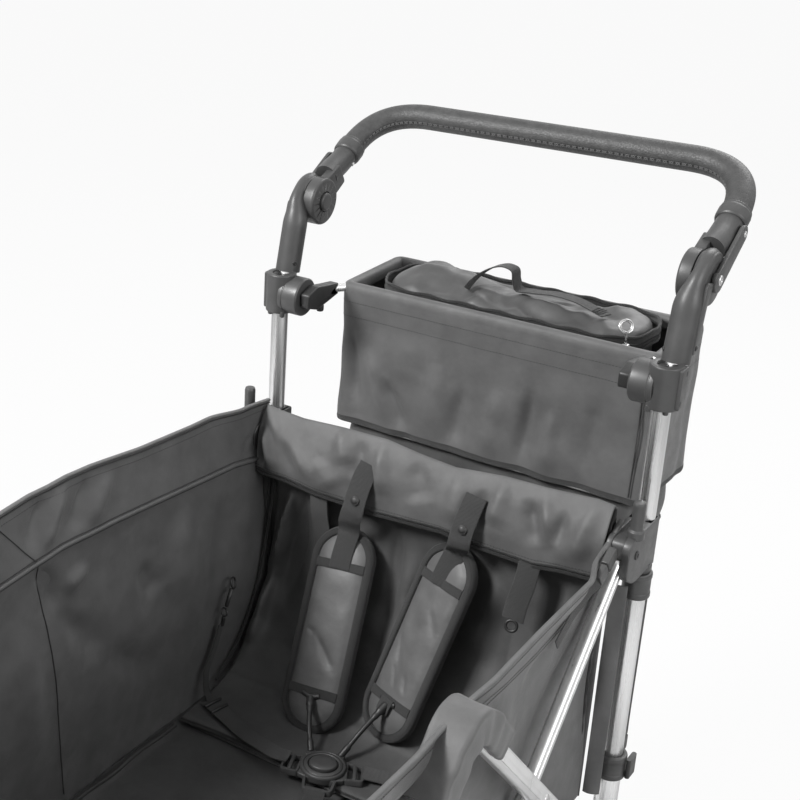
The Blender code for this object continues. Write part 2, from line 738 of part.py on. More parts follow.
def make_casters():
    """Swivel forks with their stems, and the front wheels."""
    z = FRONT_WHEEL_RADIUS
    wheel_y = FRONT_Y + CASTER_TRAIL
    arm_in = FRONT_TYRE_WIDTH / 2 + FORK_CLEARANCE
    arm_out = arm_in + FORK_ARM
    crown_low = caster_top() - CASTER_CROWN
    crown_back = FRONT_Y - FORK_ARM_RADIUS
    for name, side in SIDES:
        x = side * POST_X
        crown = rounded(x - arm_out, x + arm_out, crown_back, wheel_y, CROWN_CORNER)
        shape = extruded(crown, [], along_z, crown_low, caster_top())
        fork = add_object(f"caster_fork_{name}", shape, DARK_PLASTIC, (x, FRONT_Y, caster_top()))
        for way in (-1, 1):
            inner, outer = x + way * arm_in, x + way * arm_out
            arm_top = (FRONT_Y + GAP, crown_low + (CASTER_CROWN - FORK_ARM_RADIUS) / 2)
            arm = stadium((wheel_y, z), arm_top, FORK_ARM_RADIUS)
            join(fork, extruded(arm, [], along_x, inner, outer))
        axle = rod(FRONT_AXLE_RADIUS, (x - arm_out, wheel_y, z), (x + arm_out, wheel_y, z))
        stem_top = caster_top() + STEM_BUSH_HEIGHT - GAP
        stem = rod(STEM_RADIUS, (x, FRONT_Y, crown_low + CASTER_CROWN / 2), (x, FRONT_Y, stem_top))
        join(fork, axle, stem)
        tyre, hub = wheel_shapes(
            FRONT_WHEEL_RADIUS, FRONT_TYRE_DEPTH, FRONT_TYRE_WIDTH,
            FRONT_AXLE_RADIUS + GAP, (x, wheel_y, z), FRONT_TYRE_WIDTH - 2 * FRONT_HUB_SETBACK,
        )
        add_object(f"front_tyre_{name}", tyre, RUBBER, (x, wheel_y, z))
        add_object(f"front_hub_{name}", hub, DARK_PLASTIC, (x, wheel_y, z))


def pull_pivot():
    """Place of the pull handle's hinge as (y, z)."""
    return FRONT_Y - BEAM_DEPTH / 2 - LUG_REACH, BOTTOM_PIVOT_Z


def make_front_beam():
    """Beam between the front base brackets, with lugs for the pull handle."""
    end = BRACKET_INNER_X - GAP
    low, high = BOTTOM_PIVOT_Z - BEAM_HEIGHT / 2, BOTTOM_PIVOT_Z + BEAM_HEIGHT / 2
    front, back = FRONT_Y - BEAM_DEPTH / 2, FRONT_Y + BEAM_DEPTH / 2
    origin = (0, FRONT_Y, BOTTOM_PIVOT_Z)
    beam = add_object("front_beam", box(-end, end, front, back, low, high), ALUMINIUM, origin)
    pivot_y, pivot_z = pull_pivot()
    inner = PULL_EYE_RADIUS + GAP
    outer = inner + LUG_THICKNESS
    for _, side in SIDES:
        lug = stadium((pivot_y, pivot_z), (FRONT_Y, pivot_z), BEAM_HEIGHT / 2 - MM)
        join(beam, extruded(lug, [], along_x, side * inner, side * outer))
    join(beam, rod(PIN_RADIUS, (-inner - MM, pivot_y, pivot_z), (inner + MM, pivot_y, pivot_z)))


def make_pull_handle():
    """Pull tube on its hinge, and the rod with a cross grip that slides in it."""
    pivot_y, pivot_z = pull_pivot()
    up = Vector((0, sin(PULL_LEAN), cos(PULL_LEAN)))
    pivot = Vector((0, pivot_y, pivot_z))
    bore = PULL_TUBE_RADIUS - TUBE_WALL
    floor = PULL_EYE_RADIUS + PULL_TUBE_FLOOR
    profile = [
        (0, 0),
        (PULL_TUBE_RADIUS, 0),
        (PULL_TUBE_RADIUS, PULL_TUBE_LENGTH),
        (bore, PULL_TUBE_LENGTH),
        (bore, floor),
        (0, floor),
    ]
    tube = add_object("pull_tube", turned(profile, pivot, up), ALUMINIUM, pivot)
    eye = (-PULL_EYE_RADIUS, pivot_y, pivot_z), (PULL_EYE_RADIUS, pivot_y, pivot_z)
    join(tube, rod(PULL_EYE_RADIUS, *eye))
    cut(tube, rod(PIN_RADIUS + GAP, eye[0], (2 * PULL_EYE_RADIUS, pivot_y, pivot_z)))
    hole_start = (-2 * PULL_EYE_RADIUS, pivot_y, pivot_z)
    cut(tube, rod(PIN_RADIUS + GAP, hole_start, (0, pivot_y, pivot_z)))

    top = pivot + up * PULL_ROD_TOP
    rod_shape = rod(bore - GAP, pivot + up * PULL_ROD_INSIDE, top)
    puller = add_object("pull_grip", rod_shape, DARK_PLASTIC, top)
    join(puller, pull_grip_shape(top))


def pull_grip_shape(top):
    """Cross grip with rounded ends."""
    half, radius = PULL_GRIP_HALF, PULL_GRIP_RADIUS
    steps = 4
    turns = [pi / 2 * i / steps for i in range(steps)]
    end = [(radius * sin(a), half - radius + radius * cos(a)) for a in turns]
    ring = [(r, -h) for r, h in end]
    profile = ring + [(radius, 0)] + [(r, h) for r, h in reversed(end)]
    return turned(profile, top, (1, 0, 0), 20)


def make_clamps():
    """Clamps on the uprights, each with the round hub that carries the basket."""
    for name, side in SIDES:
        x = side * POST_X
        low = CLAMP_TOP_Z - CLAMP_HEIGHT
        shape = pipe(CLAMP_RADIUS, UPRIGHT_RADIUS + GAP, low, CLAMP_TOP_Z, x, REAR_Y)
        clamp = add_object(f"handle_clamp_{name}", shape, DARK_PLASTIC, (x, REAR_Y, PUCK_Z))
        y = REAR_Y + PUCK_Y
        back = POST_X - (CLAMP_RADIUS + UPRIGHT_RADIUS) / 2
        join(clamp, rod(PUCK_RADIUS, (side * PUCK_FACE_X, y, PUCK_Z), (side * back, y, PUCK_Z), 24))


def make_handle():
    """Lower arms, tilting upper arms with rings, push buttons and the grip."""
    joint_y = REAR_Y + JOINT_Y
    forward = Vector((0, cos(HANDLE_ANGLE), sin(HANDLE_ANGLE)))
    for name, side in SIDES:
        make_lower_arm(name, side, joint_y)
        make_upper_arm(name, side, joint_y, forward)
        make_joint_button(name, side, joint_y)
    make_grip(joint_y, forward)


def make_lower_arm(name, side, joint_y):
    """Arm from the clamp back to the outer half of the round joint."""
    disc = rod(
        JOINT_RADIUS,
        (side * (JOINT_SPLIT_X + GAP), joint_y, JOINT_Z),
        (side * JOINT_OUTER_X, joint_y, JOINT_Z),
        24,
    )
    arm = add_object(f"lower_arm_{name}", disc, DARK_PLASTIC, (side * JOINT_SPLIT_X, joint_y, JOINT_Z))
    start_z = CLAMP_TOP_Z + GAP
    rise = JOINT_Z - start_z
    half = (JOINT_OUTER_X - JOINT_SPLIT_X) / 2 - GAP
    joint_x = JOINT_SPLIT_X + GAP + half
    across = [POST_X, POST_X, POST_X + ARM_EASE, joint_x - ARM_EASE, joint_x, joint_x]
    path = [
        (side * x, REAR_Y + JOINT_Y * back, start_z + rise * up)
        for x, (back, up) in zip(across, LOWER_ARM_BENDS)
    ]
    sections = [oval(ARM_RADIUS, ARM_RADIUS)] * 2
    sections += [oval(ARM_RADIUS - MM, ARM_RADIUS + MM)]
    sections += [oval(half - MM, ARM_RADIUS + ARM_EASE)] * 2 + [oval(half - MM, ARM_RADIUS + MM)]
    join(arm, swept(path, sections))
    pin_end = (side * (JOINT_SPLIT_X + JOINT_PIN_LENGTH + 2 * GAP), joint_y, JOINT_Z)
    cut(arm, rod(JOINT_PIN_RADIUS + GAP, (side * JOINT_SPLIT_X, joint_y, JOINT_Z), pin_end))


def make_upper_arm(name, side, joint_y, forward):
    """Inner half of the joint with its pin, the tilting arm and its ring."""
    centre = Vector((0, joint_y, JOINT_Z))
    origin = (side * JOINT_SPLIT_X, joint_y, JOINT_Z)
    profile = [
        (0, 0),
        (JOINT_PIN_RADIUS, 0),
        (JOINT_PIN_RADIUS, JOINT_PIN_LENGTH),
        (JOINT_RADIUS, JOINT_PIN_LENGTH),
        (JOINT_RADIUS, JOINT_PIN_LENGTH + JOINT_SPLIT_X - JOINT_INNER_X),
        (0, JOINT_PIN_LENGTH + JOINT_SPLIT_X - JOINT_INNER_X),
    ]
    base = (side * (JOINT_SPLIT_X + JOINT_PIN_LENGTH), joint_y, JOINT_Z)
    shape = turned(profile, base, (-side, 0, 0), 24)
    arm = add_object(f"upper_arm_{name}", shape, DARK_PLASTIC, origin)
    disc_x = (JOINT_INNER_X + JOINT_SPLIT_X) / 2
    half = (JOINT_SPLIT_X - JOINT_INNER_X) / 2 - MM
    ring_start = RING_END - RING_LENGTH
    stations = (
        (JOINT_RADIUS / 3, disc_x, half),
        (JOINT_RADIUS + 2 * ARM_EASE, disc_x, half),
        ((JOINT_RADIUS + ring_start) / 2 - 4 * ARM_EASE, (disc_x + POST_X) / 2, ARM_RADIUS - ARM_EASE),
        (ring_start, POST_X, ARM_RADIUS),
        (ring_start + ARM_EASE, POST_X, ARM_RADIUS),
    )
    path = [centre + forward * s + Vector((side * x, 0, 0)) for s, x, _ in stations]
    sections = [oval(half_x, ARM_RADIUS) for _, _, half_x in stations]
    ring_low = centre + forward * ring_start + Vector((side * POST_X, 0, 0))
    ring_high = centre + forward * RING_END + Vector((side * POST_X, 0, 0))
    join(arm, swept(path, sections), rod(RING_RADIUS, ring_low, ring_high, 20))
    pocket_end = JOINT_INNER_X - BUTTON_PROUD + BUTTON_LENGTH + BUTTON_TRAVEL + GAP
    pocket_start = (side * (JOINT_INNER_X - BUTTON_PROUD), joint_y, JOINT_Z)
    cut(arm, rod(BUTTON_RADIUS + GAP, pocket_start, (side * pocket_end, joint_y, JOINT_Z)))


def make_joint_button(name, side, joint_y):
    outer = JOINT_INNER_X - BUTTON_PROUD
    start = (side * outer, joint_y, JOINT_Z)
    end = (side * (outer + BUTTON_LENGTH), joint_y, JOINT_Z)
    add_object(f"joint_button_{name}", rod(BUTTON_RADIUS, start, end), DARK_PLASTIC, start)


def make_grip(joint_y, forward):
    """Padded grip: two straight ends, two round bends and the bar between them."""
    steps = 5
    flat = [(-POST_X, RING_END + GAP)]
    flat += arc(-POST_X + GRIP_BEND, GRIP_REACH - GRIP_BEND, GRIP_BEND, pi, pi / 2, steps)
    flat += arc(POST_X - GRIP_BEND, GRIP_REACH - GRIP_BEND, GRIP_BEND, pi / 2, 0, steps)
    flat += [(POST_X, RING_END + GAP)]
    centre = Vector((0, joint_y, JOINT_Z))
    path = [centre + Vector((x, 0, 0)) + forward * s for x, s in flat]
    normal = (0, -sin(HANDLE_ANGLE), cos(HANDLE_ANGLE))
    shape = swept(path, [oval(GRIP_RADIUS, GRIP_RADIUS)] * len(path), normal)
    add_object("grip", shape, LEATHER, (0, joint_y, JOINT_Z))


def basket_span():
    """Front and back of the basket's frame along Y."""
    front = REAR_Y + BASKET_FRONT
    return front, front + BASKET_DEPTH


def make_basket_frame():
    """Tube loop in the basket's hem, with an arm to each hub."""
    front, back = basket_span()
    radius = BASKET_FRAME_RADIUS
    corner = 3 * radius
    half = BASKET_HALF_WIDTH
    outer = rounded(-half - radius, half + radius, front - radius, back + radius, corner + radius)
    inner = rounded(-half + radius, half - radius, front + radius, back - radius, corner - radius)
    low, high = BASKET_FRAME_Z - radius, BASKET_FRAME_Z + radius
    shape = extruded(outer, [inner], along_z, low, high)
    origin = (0, REAR_Y + PUCK_Y, PUCK_Z)
    frame = add_object("basket_frame", shape, ALUMINIUM, origin)
    for _, side in SIDES:
        face = side * (PUCK_FACE_X - GAP)
        arm_in = side * (half + MM)
        arm = stadium((REAR_Y + PUCK_Y, PUCK_Z), (front + 2 * radius, BASKET_FRAME_Z), radius)
        join(frame, extruded(arm, [], along_x, arm_in, face))


def make_basket():
    """Open fabric box below the frame, the pocket under it, and the zip bag that lies in it."""
    front, back = basket_span()
    radius = BASKET_FRAME_RADIUS
    top = BASKET_FRAME_Z - radius - GAP
    half = BASKET_HALF_WIDTH
    y0, y1 = front - radius, back + radius
    outer = box(-half, half, y0, y1, BASKET_BOTTOM_Z, top)
    basket = add_object("basket", outer, FABRIC, (0, REAR_Y + PUCK_Y, PUCK_Z))
    wall = BASKET_WALL
    inside = box(
        -half + wall, half - wall, y0 + wall, y1 - wall, BASKET_BOTTOM_Z + wall, top + radius
    )
    cut(basket, inside)
    half, low, back_face = POCKET_HALF_WIDTH, POCKET_BOTTOM_Z, y1 - POCKET_SETBACK
    front_face = y0 + POCKET_SETBACK
    join(basket, box(-half, half, front_face, back_face, low, BASKET_BOTTOM_Z + wall / 2))
    cut(basket, box(
        -half + wall, half - wall, front_face + wall, back_face + wall, low + wall, BASKET_BOTTOM_Z - wall
    ))
    plan = rounded(
        -BAG_HALF_WIDTH, BAG_HALF_WIDTH, front + radius + MM, back - radius - MM, BAG_CORNER
    )
    bag_low = BASKET_BOTTOM_Z + wall + GAP
    shape = extruded(plan, [], along_z, bag_low, BAG_TOP_Z)
    add_object("zip_bag", shape, FABRIC, (0, (front + back) / 2, bag_low))


def make_tub():
    """Fabric walls, and the floor with a seat pad at each end."""
    back_y = REAR_Y - END_WALL_SETBACK
    front_y = FRONT_Y + END_WALL_SETBACK
    for (name, side), rim in zip(SIDES, (LEFT_RIM, RIGHT_RIM)):
        x0, x1 = sorted((side * TUB_INNER_X, side * TUB_OUTER_X))
        half_length = (back_y - front_y) / 2
        rear_half = [(back_y - share * half_length, TUB_RIM_Z + rise) for share, rise in rim]
        front_half = [(front_y + share * half_length, TUB_RIM_Z + rise) for share, rise in rim]
        if rim[-1][0] == 1:
            front_half.pop()
        outline = [(front_y, TUB_FLOOR_Z), (back_y, TUB_FLOOR_Z), *rear_half, *reversed(front_half)]
        shape = extruded(outline, [], along_x, x0, x1)
        add_object(f"side_wall_{name}", shape, FABRIC, (side * TUB_OUTER_X, back_y, TUB_RIM_Z))
    half = TUB_INNER_X - GAP
    shape = box(-half, half, REAR_WALL_FACE, back_y, TUB_FLOOR_Z, TUB_RIM_Z)
    add_object("rear_wall", shape, FABRIC, (0, back_y, TUB_RIM_Z))
    shape = box(-half, half, front_y, FRONT_WALL_FACE, TUB_FLOOR_Z, TUB_RIM_Z)
    add_object("front_wall", shape, FABRIC, (0, front_y, TUB_RIM_Z))
    rear_end, front_end = REAR_WALL_FACE - GAP, FRONT_WALL_FACE + GAP
    floor_top = TUB_FLOOR_Z + FLOOR_THICKNESS
    side_view = [
        (front_end, TUB_FLOOR_Z),
        (rear_end, TUB_FLOOR_Z),
        (rear_end, SEAT_TOP_Z),
        (rear_end - SEAT_DEPTH, SEAT_TOP_Z),
        (rear_end - SEAT_DEPTH, floor_top),
        (front_end + SEAT_DEPTH, floor_top),
        (front_end + SEAT_DEPTH, SEAT_TOP_Z),
        (front_end, SEAT_TOP_Z),
    ]
    shape = extruded(side_view, [], along_x, -half, half)
    add_object("floor_and_seats", shape, FABRIC, (0, rear_end, TUB_FLOOR_Z))


def make_harness():
    """Shoulder pads that lean from the rear wall, and the buckle with its button."""
    for name, x in (("left", PAD_LEFT_X), ("right", PAD_RIGHT_X)):
        drop = PAD_TOP_Z - SEAT_TOP_Z - PAD_THICKNESS
        lean = (PAD_LENGTH**2 - drop**2) ** 0.5
        top = (REAR_WALL_FACE - GAP, PAD_TOP_Z)
        bottom = (top[0] - lean, top[1] - drop)
        thick = PAD_THICKNESS * PAD_LENGTH / drop
        outline = [top, bottom, (bottom[0] - thick, bottom[1]), (top[0] - thick, top[1])]
        shape = extruded(outline, [], along_x, x - PAD_WIDTH / 2, x + PAD_WIDTH / 2)
        add_object(f"shoulder_pad_{name}", shape, FABRIC, (x, *top))
    y = REAR_WALL_FACE - BUCKLE_REACH
    low = SEAT_TOP_Z + GAP
    high = low + BUCKLE_HEIGHT
    plan = rounded(
        BUCKLE_X - BUCKLE_WIDTH / 2, BUCKLE_X + BUCKLE_WIDTH / 2,
        y - BUCKLE_DEPTH / 2, y + BUCKLE_DEPTH / 2, BUCKLE_CORNER,
    )
    shape = extruded(plan, [], along_z, low, high)
    buckle = add_object("harness_buckle", shape, DARK_PLASTIC, (BUCKLE_X, y, low))
    pocket = high - BUCKLE_BUTTON_HEIGHT
    cut(buckle, rod(BUCKLE_BUTTON_RADIUS + GAP, (BUCKLE_X, y, pocket), (BUCKLE_X, y, high + MM)))
    start = (BUCKLE_X, y, pocket + BUTTON_TRAVEL + GAP)
    end = (BUCKLE_X, y, start[2] + BUCKLE_BUTTON_HEIGHT)
    add_object("buckle_button", rod(BUCKLE_BUTTON_RADIUS, start, end), DARK_PLASTIC, start)


def make_latches():
    """Quick-release levers on the lower collars, hinged on an upright pin line."""
    for name, side in SIDES:
        face = POST_X + LOWER_COLLAR_RADIUS + GAP
        mid_z = LOWER_COLLAR_TOP_Z - LOWER_COLLAR_HEIGHT / 2
        half_height = LOWER_COLLAR_HEIGHT / 2 - LATCH_SETBACK
        plan = stadium(
            (side * (face + LATCH_THICKNESS / 2), REAR_Y),
            (side * (face + LATCH_THICKNESS / 2), REAR_Y + LATCH_LENGTH),
            LATCH_THICKNESS / 2,
        )
        shape = extruded(plan, [], along_z, mid_z - half_height, mid_z + half_height)
        origin = (side * (face + LATCH_THICKNESS / 2), REAR_Y, mid_z)
        add_object(f"collar_latch_{name}", shape, DARK_PLASTIC, origin)


clear_scene()
make_posts()
make_top_brackets()
make_scissors()
make_rear_wheels()
make_brake_bar()
make_casters()
make_front_beam()
make_pull_handle()
make_clamps()
make_handle()
make_basket_frame()
make_basket()
make_tub()
make_harness()
make_latches()
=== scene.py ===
"""Looks of a folding hand-pulled wagon for children, fitted over its frame.

X runs across the wagon, +Y points to the push handle, +Z up. Lengths are in metres, and the tables of
folds and of long soft lines in millimetres. Places along the wagon are given from the line of the rear
posts, with the push handle on the positive side.
"""

import json
from math import cos, pi, radians, sin

import bmesh
import bpy
import numpy as np
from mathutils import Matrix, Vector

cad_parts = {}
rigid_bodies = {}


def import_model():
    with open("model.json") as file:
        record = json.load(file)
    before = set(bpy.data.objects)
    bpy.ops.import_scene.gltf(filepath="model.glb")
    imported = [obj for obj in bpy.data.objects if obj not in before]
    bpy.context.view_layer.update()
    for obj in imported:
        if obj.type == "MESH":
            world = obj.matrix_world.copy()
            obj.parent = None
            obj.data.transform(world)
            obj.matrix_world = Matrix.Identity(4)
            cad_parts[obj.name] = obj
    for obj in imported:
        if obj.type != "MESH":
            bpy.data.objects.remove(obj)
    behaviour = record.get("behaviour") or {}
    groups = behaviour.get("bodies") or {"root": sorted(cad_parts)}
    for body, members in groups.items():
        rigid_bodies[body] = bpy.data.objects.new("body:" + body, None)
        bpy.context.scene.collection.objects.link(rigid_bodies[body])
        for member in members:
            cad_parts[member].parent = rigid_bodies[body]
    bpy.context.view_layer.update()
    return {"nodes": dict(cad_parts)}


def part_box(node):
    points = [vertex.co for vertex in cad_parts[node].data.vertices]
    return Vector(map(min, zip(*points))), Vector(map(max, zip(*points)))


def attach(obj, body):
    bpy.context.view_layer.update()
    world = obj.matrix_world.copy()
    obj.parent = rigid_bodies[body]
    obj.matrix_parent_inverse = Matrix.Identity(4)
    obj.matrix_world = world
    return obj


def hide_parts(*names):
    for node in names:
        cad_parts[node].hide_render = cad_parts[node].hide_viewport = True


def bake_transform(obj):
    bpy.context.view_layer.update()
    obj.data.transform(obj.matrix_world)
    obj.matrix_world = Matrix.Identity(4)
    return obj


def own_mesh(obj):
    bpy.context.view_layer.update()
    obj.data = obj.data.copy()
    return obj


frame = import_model()

SIDES = (("left", -1), ("right", 1))
POST_X = 0.26
REAR_POST = (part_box("upright_left")[0][1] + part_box("upright_left")[1][1]) / 2
FRONT_POST = (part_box("inner_post_front_left")[0][1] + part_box("inner_post_front_left")[1][1]) / 2
SPACING = REAR_POST - FRONT_POST
PIVOT = 0.053
CELL = (SPACING - 2 * PIVOT) / 4
TOP_PIVOT_Z = 0.684
BOTTOM_PIVOT_Z = 0.258
CROSS_Z = (TOP_PIVOT_Z + BOTTOM_PIVOT_Z) / 2
INNER_BAR = 0.256
OUTER_BAR = 0.2725
BRACKET_FACE = 0.2855
X_AXIS = np.array((1.0, 0.0, 0.0))
Y_AXIS = np.array((0.0, 1.0, 0.0))
Z_AXIS = np.array((0.0, 0.0, 1.0))


def at(x, back, z):
    """Place given by its distance behind the rear posts."""
    return (x, REAR_POST + back, z)


def places(points):
    """Places given as rows of x, distance behind the rear posts, and z."""
    return np.asarray(points, float) + np.array((0, REAR_POST, 0))


def raised(plan, height):
    """Plan points at one height."""
    return np.concatenate([plan, np.full((len(plan), 1), height)], axis=1)


def placed(x, back, z):
    """Places from their parts: x, distance behind the rear posts, and z."""
    return places(np.stack([x, back, z], axis=-1))


# Shapes: each is (points, quads, places on flat cloth, larger faces)


def unit(vectors):
    """Vectors of length one."""
    length = np.linalg.norm(vectors, axis=-1, keepdims=True)
    return vectors / np.maximum(length, 1e-12)


def evenly(curve, count):
    """Points at equal steps of the distance run along a polyline."""
    run = np.concatenate([[0], np.cumsum(np.linalg.norm(np.diff(curve, axis=0), axis=1))])
    steps = np.linspace(0, run[-1], count)
    return np.stack([np.interp(steps, run, column) for column in curve.T], axis=1)


def smooth_line(points, count):
    """Even points on a Hermite cubic through the given ones, with each slope taken from both neighbours."""
    p = np.asarray(points, float)
    if len(p) < 3:
        return evenly(p, count)
    gap = np.linalg.norm(np.diff(p, axis=0), axis=1)
    run = np.concatenate([[0], np.cumsum(gap)])
    slope = np.gradient(p, run, axis=0)
    fine = np.linspace(0, run[-1], 12 * len(p) + count)
    k = np.clip(np.searchsorted(run, fine, side="right") - 1, 0, len(p) - 2)
    h = gap[k][:, None]
    t = ((fine - run[k]) / gap[k])[:, None]
    curve = (2 * t**3 - 3 * t**2 + 1) * p[k] + (t**3 - 2 * t**2 + t) * h * slope[k]
    curve = curve + (3 * t**2 - 2 * t**3) * p[k + 1] + (t**3 - t**2) * h * slope[k + 1]
    return evenly(curve, count)


def through(points, count):
    """Smooth line through places given in millimetres."""
    return smooth_line(places(np.asarray(points) / 1000), count)


def soften(points, radius, closed=False, steps=5):
    """Each corner is cut back by radius and turned into a quadratic curve through its two cuts."""
    p = np.asarray(points, float)
    before, after = np.roll(p, 1, axis=0) - p, np.roll(p, -1, axis=0) - p
    reach = np.minimum(np.linalg.norm(before, axis=1), np.linalg.norm(after, axis=1)) * 0.48
    r = np.minimum(radius, reach)[:, None]
    start, end = p + unit(before) * r, p + unit(after) * r
    t = np.linspace(0, 1, steps)[None, :, None]
    curve = (1 - t) ** 2 * start[:, None] + 2 * t * (1 - t) * p[:, None] + t**2 * end[:, None]
    if closed:
        return curve.reshape(-1, p.shape[1])
    return np.concatenate([p[:1], curve[1:-1].reshape(-1, p.shape[1]), p[-1:]])


def round_evenly(points, count):
    """Points at equal steps round a closed polyline."""
    return evenly(np.concatenate([points, points[:1]]), count + 1)[:-1]


def outward(plan):
    """Unit vectors out of a closed plan, square to the line between each point's neighbours."""
    tangent = unit(np.roll(plan, -1, axis=0) - np.roll(plan, 1, axis=0))
    return np.stack([tangent[:, 1], -tangent[:, 0]], axis=1)


def smooth_step(value, low, high):
    """Cubic step from 0 at low to 1 at high."""
    t = np.clip((value - low) / (high - low), 0, 1)
    return t * t * (3 - 2 * t)


def round_outline(half_u, half_v, count=32):
    """Ellipse: cosine across, sine up."""
    turn = np.arange(count) * 2 * pi / count
    return np.stack([half_u * np.cos(turn), half_v * np.sin(turn)], axis=1)


def box_outline(u0, u1, v0, v1, radius, steps=6):
    """Rectangle whose corners are softened."""
    return soften([(u0, v0), (u1, v0), (u1, v1), (u0, v1)], radius, True, steps)


def bar_outline(start, end, radius, steps=10):
    """Bar with round ends: half circles about its two ends."""
    start, end = np.asarray(start, float), np.asarray(end, float)
    way = np.arctan2(*(end - start)[::-1])
    turn = np.linspace(-pi / 2, pi / 2, steps)
    far = end + radius * np.stack([np.cos(way + turn), np.sin(way + turn)], axis=1)
    near = start + radius * np.stack([np.cos(way + pi + turn), np.sin(way + pi + turn)], axis=1)
    return np.concatenate([far, near])


def flat_places(grid):
    """Place of each grid point on the cloth laid flat: the mean distance run across and down."""
    down = np.linalg.norm(np.diff(grid, axis=0), axis=2).mean(axis=1)
    across = np.linalg.norm(np.diff(grid, axis=1), axis=2).mean(axis=0)
    u = np.concatenate([[0], np.cumsum(across)])
    v = np.concatenate([[0], np.cumsum(down)])
    return np.stack(np.meshgrid(u, v), axis=-1)


def grid_shape(grid, closed_rows=False, closed_columns=False, flat=None):
    """Quads between the neighbours of a grid of points, joined round where closed."""
    rows, columns = grid.shape[:2]
    whole = np.concatenate([grid, grid[:1]], axis=0) if closed_rows else grid
    whole = np.concatenate([whole, whole[:, :1]], axis=1) if closed_columns else whole
    flat = flat_places(whole) if flat is None else flat
    i, j = np.meshgrid(
        np.arange(rows if closed_rows else rows - 1),
        np.arange(columns if closed_columns else columns - 1),
        indexing="ij",
    )
    i, j = i.ravel(), j.ravel()
    i2, j2 = (i + 1) % rows, (j + 1) % columns
    quads = np.stack([i * columns + j, i * columns + j2, i2 * columns + j2, i2 * columns + j], axis=1)
    cloth = np.stack([flat[i, j], flat[i, j + 1], flat[i + 1, j + 1], flat[i + 1, j]], axis=1)
    return grid.reshape(-1, 3), quads, cloth, []


def merged(*shapes):
    """Several shapes as one."""
    points, quads, cloth, caps = [], [], [], []
    start = 0
    for p, q, c, larger in shapes:
        points.append(p)
        quads.append(q + start)
        cloth.append(c)
        caps += [[i + start for i in cap] for cap in larger]
        start += len(p)
    return np.concatenate(points), np.concatenate(quads), np.concatenate(cloth), caps


def changed(shape, change):
    """Shape whose points go through a function."""
    points, quads, cloth, caps = shape
    return change(points), quads, cloth, caps


def to_front(shape):
    """Shape carried from the rear posts to the front ones."""
    return changed(shape, lambda points: points - (0, SPACING, 0))


def mirrored(shape):
    """Shape on the other side of the wagon's middle plane."""
    points, quads, cloth, caps = shape
    return points * (-1, 1, 1), quads[:, ::-1], cloth[:, ::-1], [cap[::-1] for cap in caps]


def sided(shape, side):
    """Right-hand shape, mirrored for the left side."""
    return shape if side > 0 else mirrored(shape)


def directions(path, side):
    """Unit vectors along a path, across it (near side), and square to both."""
    along = unit(np.gradient(path, axis=0))
    across = np.broadcast_to(np.asarray(side, float), path.shape)
    across = unit(across - (across * along).sum(axis=1, keepdims=True) * along)
    return along, across, np.cross(along, across)


def carried(path, section, size=1.0, side=(1, 0, 0), ends=0.0015):
    """Closed section carried along a path: path + section u * across + section v * up, times the size.

    The ends close over a quarter round of the given radius. Ends of None stay open.
    """
    path = np.asarray(path, float)
    section = np.asarray(section, float)
    size = np.broadcast_to(np.asarray(size, float), (len(path), 2)).copy()
    along, across, up = directions(path, side)
    index = np.arange(len(path))
    shift = np.zeros(len(path))
    if ends is not None:
        turn = np.radians([0, 30, 60, 90])
        reach = np.abs(section).max()
        shrink = np.concatenate([[0], 1 - np.minimum(ends / reach, 0.97) * (1 - np.sin(turn[:-1]))])
        offset = np.concatenate([[0], ends * (1 - np.cos(turn[:-1]))])
        index = np.concatenate([np.zeros(4, int), index, np.full(4, len(path) - 1)])
        shift = np.concatenate([offset, [ends], shift[1:-1], [-ends], -offset[::-1]])
        size = np.concatenate([size[:1] * shrink[:, None], size, size[-1:] * shrink[::-1, None]])
    centre = path[index] + along[index] * shift[:, None]
    u = section[None, :, :1] * size[:, None, :1]
    v = section[None, :, 1:] * size[:, None, 1:]
    grid = centre[:, None] + u * across[index][:, None] + v * up[index][:, None]
    return grid_shape(grid, closed_columns=True)


def cord(path, half_across, half_up, count, side=(1, 0, 0)):
    """Round cord or tube carried along a path."""
    return carried(path, round_outline(half_across, half_up, count), 1.0, side)


def turned(profile, base, axis=Z_AXIS, segments=48, closed=False, ripple=None):
    """Profile of (radius, height) turned about an axis: base + height * axis + radius * the turning unit.

    Ripple changes the radius by the angle and the height.
    """
    profile = np.asarray(profile, float)
    axis = unit(np.asarray(axis, float))
    helper = X_AXIS if abs(axis[0]) < 0.9 else Y_AXIS
    u = unit(helper - axis * (helper @ axis))
    v = np.cross(axis, u)
    angle = np.arange(segments) * 2 * pi / segments
    spoke = np.cos(angle)[:, None] * u + np.sin(angle)[:, None] * v
    radius = np.broadcast_to(profile[:, :1], (len(profile), segments)).copy()
    if ripple is not None:
        radius = ripple(radius, angle[None, :], profile[:, 1:])
    grid = np.asarray(base, float) + profile[:, None, 1:] * axis + radius[:, :, None] * spoke[None]
    return grid_shape(grid, closed_rows=closed, closed_columns=True)


def tube(radius, bore, low, high, x, y, edge=0.0005):
    """Upright open tube with rounded rims."""
    profile = soften([(radius, low), (radius, high), (bore, high), (bore, low)], edge, True, 3)
    return turned(profile, (x, y, 0), closed=True)


def lathe(points, base, axis=Z_AXIS, edge=0.0008, segments=48):
    """Solid turned piece with softened corners, closed at both poles."""
    return turned(soften(points, edge, steps=4), base, axis, segments)


